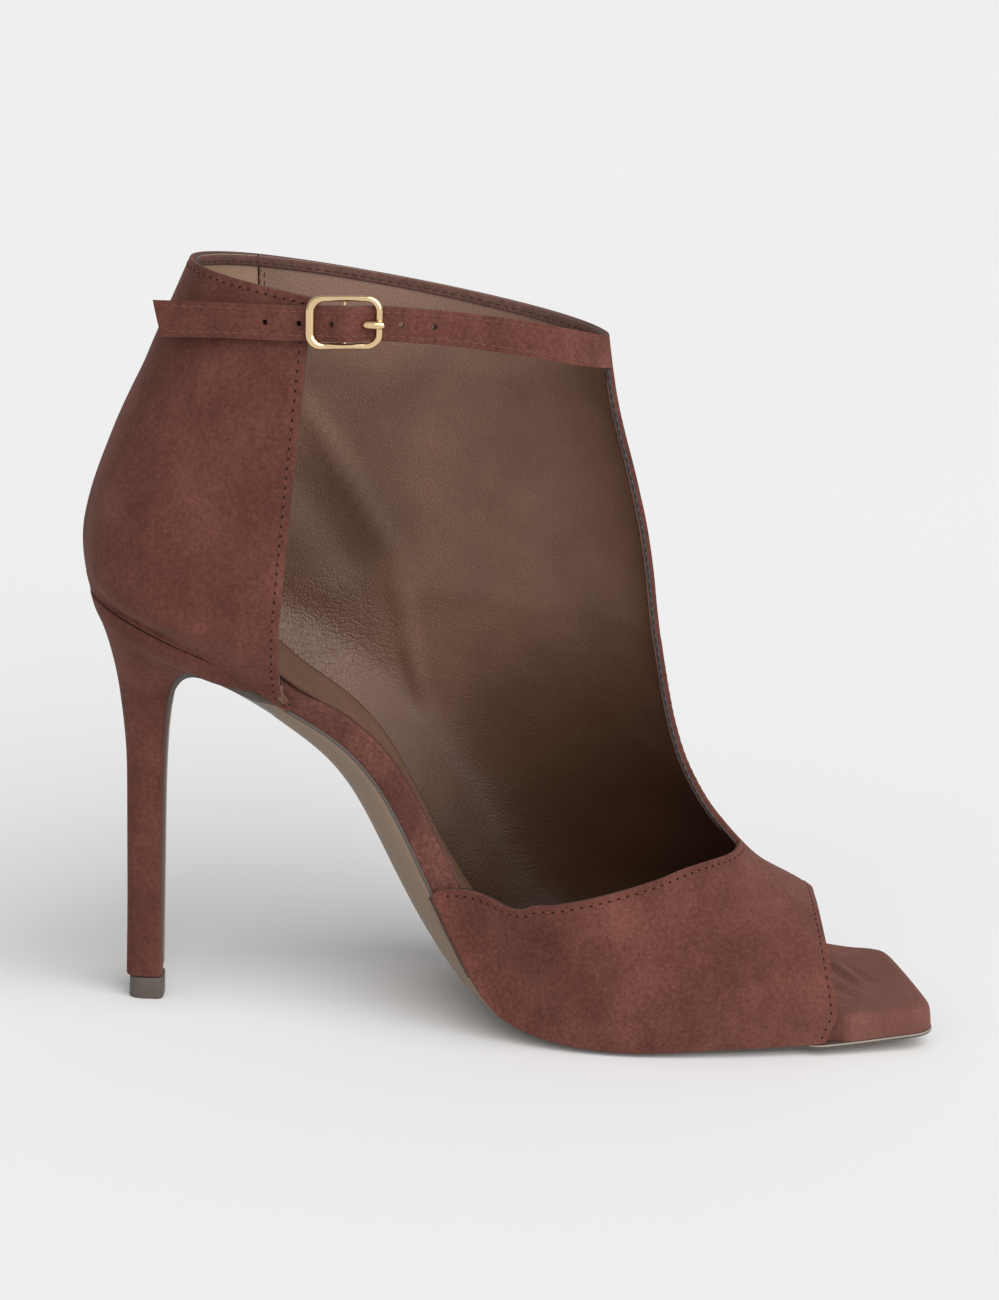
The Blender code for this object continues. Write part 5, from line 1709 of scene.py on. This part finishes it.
    def _outsole(self, maker: Maker) -> None:
        """Makes the outsole, from the toe along the sole, under the wing and down the breast."""
        last = self.last
        across = np.linspace(-1, 1, 23)
        thick = last.outsole_thickness + last.fit_gap - 0.0001
        wing, end = self.breast[0][0] * last.length, last.length - self.toe_inset
        rings = []
        belly = 1 - np.abs(across) ** 5
        for x in crowded(wing, end, 150, 0.45)[:0:-1]:
            near_toe = float(smooth_step((x - self.widens[0]) / self.widens[1]))
            inset = self.outsole_inset - (self.outsole_inset - self.toe_inset) * near_toe
            inner = last.half_width(np.array(x), Side.INNER, inset)
            outer = last.half_width(np.array(x), Side.OUTER, inset)
            y = spanned(across, inner, outer)
            thins = float(smooth_step((end - x) / self.thins_over))
            depth = self.edge + (thick - self.edge) * belly * thins
            low, high = last.sole_point(x, y, -0.0001 - depth), last.sole_point(x, y, -0.0001)
            rings.append(self._edged(low, high))
        share = np.linspace(0, 1, 90)
        inners, outers = self._cover_widths(share)
        lifts = last.lifts(wing)
        for t, inner, outer in zip(share, inners, outers):
            point = self.breast_line(t)
            ahead = self.breast_line(min(t + 0.01, 1.0)) - self.breast_line(max(t - 0.01, 0.0))
            ahead /= np.linalg.norm(ahead)
            down = np.array([-ahead[1], ahead[0]])
            fade = max(0.0, 1 - t / 0.2)
            y = spanned(across, inner, outer)
            lift = np.where(across < 0, *lifts) * fade**2 * across**2
            face = np.stack([point[0] - down[0] * lift, y, point[1] - down[1] * lift], axis=1)
            sunk = 0.0007 + 0.0010 * math.sin(min(t / 0.5, 1.0) * math.pi)
            out = np.array([down[0], 0, down[1]])
            near = face - out * sunk * min(1.0, t / 0.03)
            depth = self.edge + (thick - self.edge) * belly
            far = face + out * (self.cover + (depth - self.cover) * fade)[:, None]
            rings.append(self._edged(far, near))
        mesh = bmesh.new()
        lay_rings(mesh, np.array(rings))
        self._paint_edges(mesh)
        sole = maker.piece("outsole_unit", mesh, ["sole_brown", "sole_edge", "sole_rand"], ["outsole"])
        maker.round_edges(sole, 0.0002, 2, 50)

    def _edged(self, low: Array, high: Array) -> Array:
        """A ring of two lines of points, with a middle point on each edge."""
        middle = (low * 0.45 + high * 0.55)[[-1, 0]]
        return np.concatenate([low, middle[:1], high[::-1], middle[1:]])

    def _paint_edges(self, mesh: BMesh) -> None:
        """Gives the outsole's top and edges the edge finish, with a pale line round the toe."""
        mesh.normal_update()
        last = self.last
        wing = self.breast[0][0] * last.length
        for face in mesh.faces:
            centre = face.calc_center_median()
            ahead = last.sole_point(np.array([centre.x - 0.001, centre.x + 0.001]), 0.0, 0.0)
            slope = (ahead[1] - ahead[0]) / np.linalg.norm(ahead[1] - ahead[0])
            upward = face.normal.z * slope[0] - face.normal.x * slope[2]
            level = last.sole_point(centre.x, centre.y, 0.0)[2]
            if centre.x > wing and upward > -0.5:
                upright = centre.x > self.rand_from and upward < 0.5
                pale = upright and centre.z > level - self.rand_height
                face.material_index = 2 if pale else 1
            elif centre.x <= wing and (abs(face.normal.y) > 0.8 or face.normal.x < -0.3):
                face.material_index = 1

    def build(self, maker: Maker) -> None:
        """Makes the heel, its tip and the outsole."""
        self._heel(maker)
        self._tip(maker)
        self._outsole(maker)


@dataclass
class Buckle:
    """The small buckle: a flattened frame, its middle bar and the prong, and the ribbed elastic."""

    strap: Strap
    upper: Upper
    wire: float = 0.0015
    corner: float = 0.0040
    bar: float = 0.0005
    prong: float = 0.00065
    knob: float = 0.00105
    raised: float = 0.0004
    rear_wider: float = 0.65
    front_wider: float = 0.2
    flatness: float = 0.85
    elastic_width: float = 0.0084
    elastic_thickness: float = 0.0009
    elastic_tuck: float = 0.010
    ribs: int = 6
    rib_depth: float = 0.28

    def frame_offset(self) -> float:
        """How far the frame's wire lies out from the collar, over the strap at both ends."""
        strap = self.strap
        over = float(strap.offset(np.array(strap.buckle_x + strap.buckle_length / 2)))
        return over + 0.0001 + self.wire / 2

    def bar_offset(self) -> float:
        """How far the middle bar lies out from the collar, under the strap."""
        strap = self.strap
        return float(strap.offset(np.array(strap.buckle_x))) - strap.wall - 0.0001 - self.bar

    def _beside(self, ahead: float, offset: float, up: float) -> Array:
        """A point ahead of the buckle's middle, out from the collar and up from its middle."""
        strap = self.strap
        return strap.beside(strap.buckle_x + ahead, offset, strap.width / 2 - up)

    def _tube(self, path: Array, radii: Array, closed: bool, flat: float = 1.0) -> Array:
        """Rings of a bar along a path.

        Args:
            path: Points along its middle.
            radii: Half its width at each point.
            closed: Whether the path closes on itself.
            flat: Its thickness as a share of its width.

        Returns:
            One ring of points for each point of the path.
        """
        cosine, sine = circle(16)
        if closed:
            ahead = np.roll(path, -1, axis=0) - np.roll(path, 1, axis=0)
        else:
            ahead = np.gradient(path, axis=0)
        ahead = unit(ahead)
        outward = self.strap.collar_line(self.strap.width / 2)[1]
        side = unit(np.cross(ahead, outward[int(len(outward) * 0.55)]))
        rise = np.cross(side, ahead)
        wide = radii[:, None, None] * side[:, None] * cosine[None, :, None]
        tall = (radii * flat)[:, None, None] * rise[:, None] * sine[None, :, None]
        return path[:, None] + wide + tall

    def _frame(self, maker: Maker) -> None:
        """Makes the frame and its middle bar."""
        strap = self.strap
        half_long = (strap.buckle_length - 0.0003 - self.wire) / 2
        half_tall = strap.width / 2 + 0.0009 + self.wire / 2
        corner = self.corner - self.wire / 2
        path = []
        corners = ((1, 1, 0.0), (-1, 1, 0.5), (-1, -1, 1.0), (1, -1, 1.5))
        for along, up, start in corners:
            along, up = along * (half_long - corner), up * (half_tall - corner)
            for turn in np.linspace(0, math.pi / 2, 17) + start * math.pi:
                path.append((along + corner * math.cos(turn), up + corner * math.sin(turn)))
        path = np.array(path + path[:1])
        flat = np.column_stack([path, np.zeros(len(path))])
        even = resampled(flat, np.linspace(0, chord_lengths(flat)[-1], 181)[:-1])
        offset = self.frame_offset()
        placed = np.array([self._beside(a, offset, self.raised + u) for a, u, _ in even])
        start, run = half_long * 0.55, half_long * 0.4
        rear = smooth_step((-even[:, 0] - start) / run)
        ahead = smooth_step((even[:, 0] - start) / run)
        radii = self.wire / 2 * (1 + self.rear_wider * rear + self.front_wider * ahead)
        rings = self._tube(placed, radii, True, self.flatness)
        mesh = bmesh.new()
        lay_rings(mesh, np.concatenate([rings, rings[:1]]), ends=False)
        maker.piece("buckle_ring", mesh, ["pale_gold"], ["buckle_frame"])
        at_bar = self.bar_offset()
        ends = ((offset, 1.0), (at_bar, 0.86), (at_bar, -0.86), (offset, -1.0))
        bar = [self._beside(0.0, away, self.raised + half_tall * up) for away, up in ends]
        bar = np.array(bar)
        bar = resampled(bar, np.linspace(0, chord_lengths(bar)[-1], 40))
        mesh = bmesh.new()
        lay_rings(mesh, self._tube(bar, np.full(len(bar), self.bar), False))
        maker.piece("buckle_bar", mesh, ["pale_gold"])

    def _prong(self, maker: Maker) -> None:
        """Makes the prong: round the bar, out through its hole and onto the frame."""
        strap = self.strap
        under = self.bar_offset() - self.bar - 0.0001 - self.prong
        face = float(strap.offset(np.array(strap.buckle_x + strap.prong_hole)))
        over = self.frame_offset() + self.wire / 2 * self.flatness + self.prong * 0.7
        hole = strap.prong_hole
        tip = strap.buckle_length / 2 + self.prong * 0.8
        stops = (
            (-self.bar, under),
            (hole * 0.5, min(under, face - strap.wall - self.prong) - 0.0004),
            (hole - 0.0003, face - strap.wall - self.prong),
            (hole, face - strap.wall / 2),
            (hole + 0.0003, face + self.prong),
            (hole + 0.0014, over),
            (tip, over),
        )
        path = np.array([self._beside(ahead, away, 0.0) for ahead, away in stops])
        run = chord_lengths(path)
        smooth = Spline(run, path)(np.linspace(0, run[-1], 48))
        outside = smooth_step((np.linspace(0, 1, len(smooth)) - 0.45) / 0.2)
        radii = self.prong + (self.knob - self.prong) * outside
        radii[-3:] *= (0.95, 0.8, 0.45)
        mesh = bmesh.new()
        lay_rings(mesh, self._tube(smooth, radii, False))
        maker.piece("buckle_tongue", mesh, ["pale_gold"], ["buckle_prong"])

    def _elastic(self, maker: Maker) -> None:
        """Makes the ribbed elastic, from inside the quarter to the middle bar."""
        strap = self.strap
        inside = -strap.wall - 0.0002 - self.elastic_thickness / 2
        at_bar = self.bar_offset() - self.bar - 0.0004 - self.prong * 2 - self.elastic_thickness
        edge = float(self.upper.quarter_line(self.upper.last.ridges(0.0)[1])[0])
        back, front = edge - self.elastic_tuck, strap.buckle_x - self.bar * 2
        cosine, sine = circle(84)
        line, outward = strap.collar_line(strap.width / 2)
        up = signed_power(sine, 0.5) * self.elastic_width / 2
        rib = 1 + self.rib_depth * np.cos(up / self.elastic_width * 2 * math.pi * self.ribs)
        thick = signed_power(cosine, 0.4) * self.elastic_thickness / 2 * rib
        rings = []
        for x in np.linspace(back, front, 46):
            share = min(max((x - edge - 0.001) / (front - edge - 0.001), 0.0), 1.0)
            middle = strap.beside(x, inside + (at_bar - inside) * share, strap.width / 2)
            out = outward[int(np.argmin(np.abs(line[:, 0] - x)))]
            rings.append(middle + out * thick[:, None] + np.array([0, 0, 1.0]) * up[:, None])
        mesh = bmesh.new()
        lay_rings(mesh, np.array(rings))
        maker.piece("elastic_band", mesh, ["elastic_brown"], ["elastic_loop"])

    def build(self, maker: Maker) -> None:
        """Makes the buckle's metal and the elastic that holds it."""
        self._frame(maker)
        self._prong(maker)
        self._elastic(maker)


@dataclass
class Studio:
    """A pale floor, soft lights and a camera at the photograph's angle."""

    target: Vector = field(default_factory=lambda: Vector((0.0933, 0.0, 0.100)))
    distance: float = 1.0
    azimuth: float = -1.0
    elevation: float = 14.8
    roll: float = 2.2
    lens: float = 104.0
    sensor: float = 36.0
    floor_tones: tuple[float, float] = (0.815, 0.835)
    backdrop: float = 0.42

    def _camera(self) -> None:
        """Places the camera, rolled as the photograph's is."""
        turn, tilt, roll = (math.radians(a) for a in (self.azimuth, self.elevation, self.roll))
        level = math.cos(tilt)
        back = Vector((math.sin(turn) * level, -math.cos(turn) * level, math.sin(tilt)))
        right = Vector((0, 0, 1)).cross(back).normalized()
        up = back.cross(right)
        leaned = up * math.cos(roll) - right * math.sin(roll)
        right = leaned.cross(back)
        data = bpy.data.cameras.new("camera")
        data.lens = self.lens
        data.sensor_fit = "AUTO"
        data.sensor_width = self.sensor
        data.clip_start = 0.01
        camera = linked("camera", data)
        turned = Matrix((right, leaned, back)).transposed().to_4x4()
        camera.matrix_world = Matrix.Translation(self.target + back * self.distance) @ turned
        bpy.context.scene.camera = camera

    def _light(self, name: str, place: Sequence[float], spread: float, power: float) -> None:
        """Adds one soft, even light that shines from place towards the shoe.

        Args:
            name: The light's name.
            place: A point in the direction that it comes from.
            spread: How wide the light looks, in degrees, which sets how soft it is.
            power: Its strength.
        """
        data = bpy.data.lights.new(name, "SUN")
        data.angle = math.radians(spread)
        data.energy = power
        light = linked(name, data)
        light.location = place
        light.rotation_euler = (Vector(place) - self.target).to_track_quat("Z", "Y").to_euler()

    def _floor(self) -> None:
        """Lays the pale floor."""
        mesh = bmesh.new()
        bmesh.ops.create_grid(mesh, x_segments=8, y_segments=8, size=9.0)
        data = finished("floor", mesh)
        graph = Graph("floor_paper")
        grain = graph.cloud(graph.place(), 0.6, 2.0, 0.5)
        dark, pale = ((tone,) * 3 for tone in self.floor_tones)
        graph.shade(base_color=graph.mix(grain, dark, pale), roughness=0.9)
        graph.shade(specular_ior_level=0.1)
        data.materials.append(graph.material)
        floor = linked("floor", data)

    def build(self) -> None:
        """Sets up the floor, the world, the lights and the camera."""
        scene = bpy.context.scene
        scene.view_settings.view_transform = "Standard"
        scene.world = scene.world or bpy.data.worlds.new("studio")
        scene.world.use_nodes = True
        backdrop = scene.world.node_tree.nodes["Background"]
        backdrop.inputs["Color"].default_value = (1.0, 1.0, 1.0, 1.0)
        backdrop.inputs["Strength"].default_value = self.backdrop
        self._floor()
        self._light("key", (1.20, -1.32, 1.45), 75.0, 3.0)
        self._light("fill", (-0.6, -1.6, 0.7), 70.0, 0.45)
        self._camera()


def main() -> None:
    """Builds the sandal's pieces and the studio, and reports each."""
    logging.basicConfig(level=logging.INFO, format="%(name)s %(message)s")
    last = Last()
    maker = Maker(last, Palette())
    strap = Strap(last)
    upper = Upper(last, strap)
    for assembly in (upper, Stitching(upper), Footbed(last), HeelUnit(last), Buckle(strap, upper)):
        assembly.build(maker)
        log.info("%s is built", type(assembly).__name__)
    Studio().build()


if __name__ == "__main__":
    main()
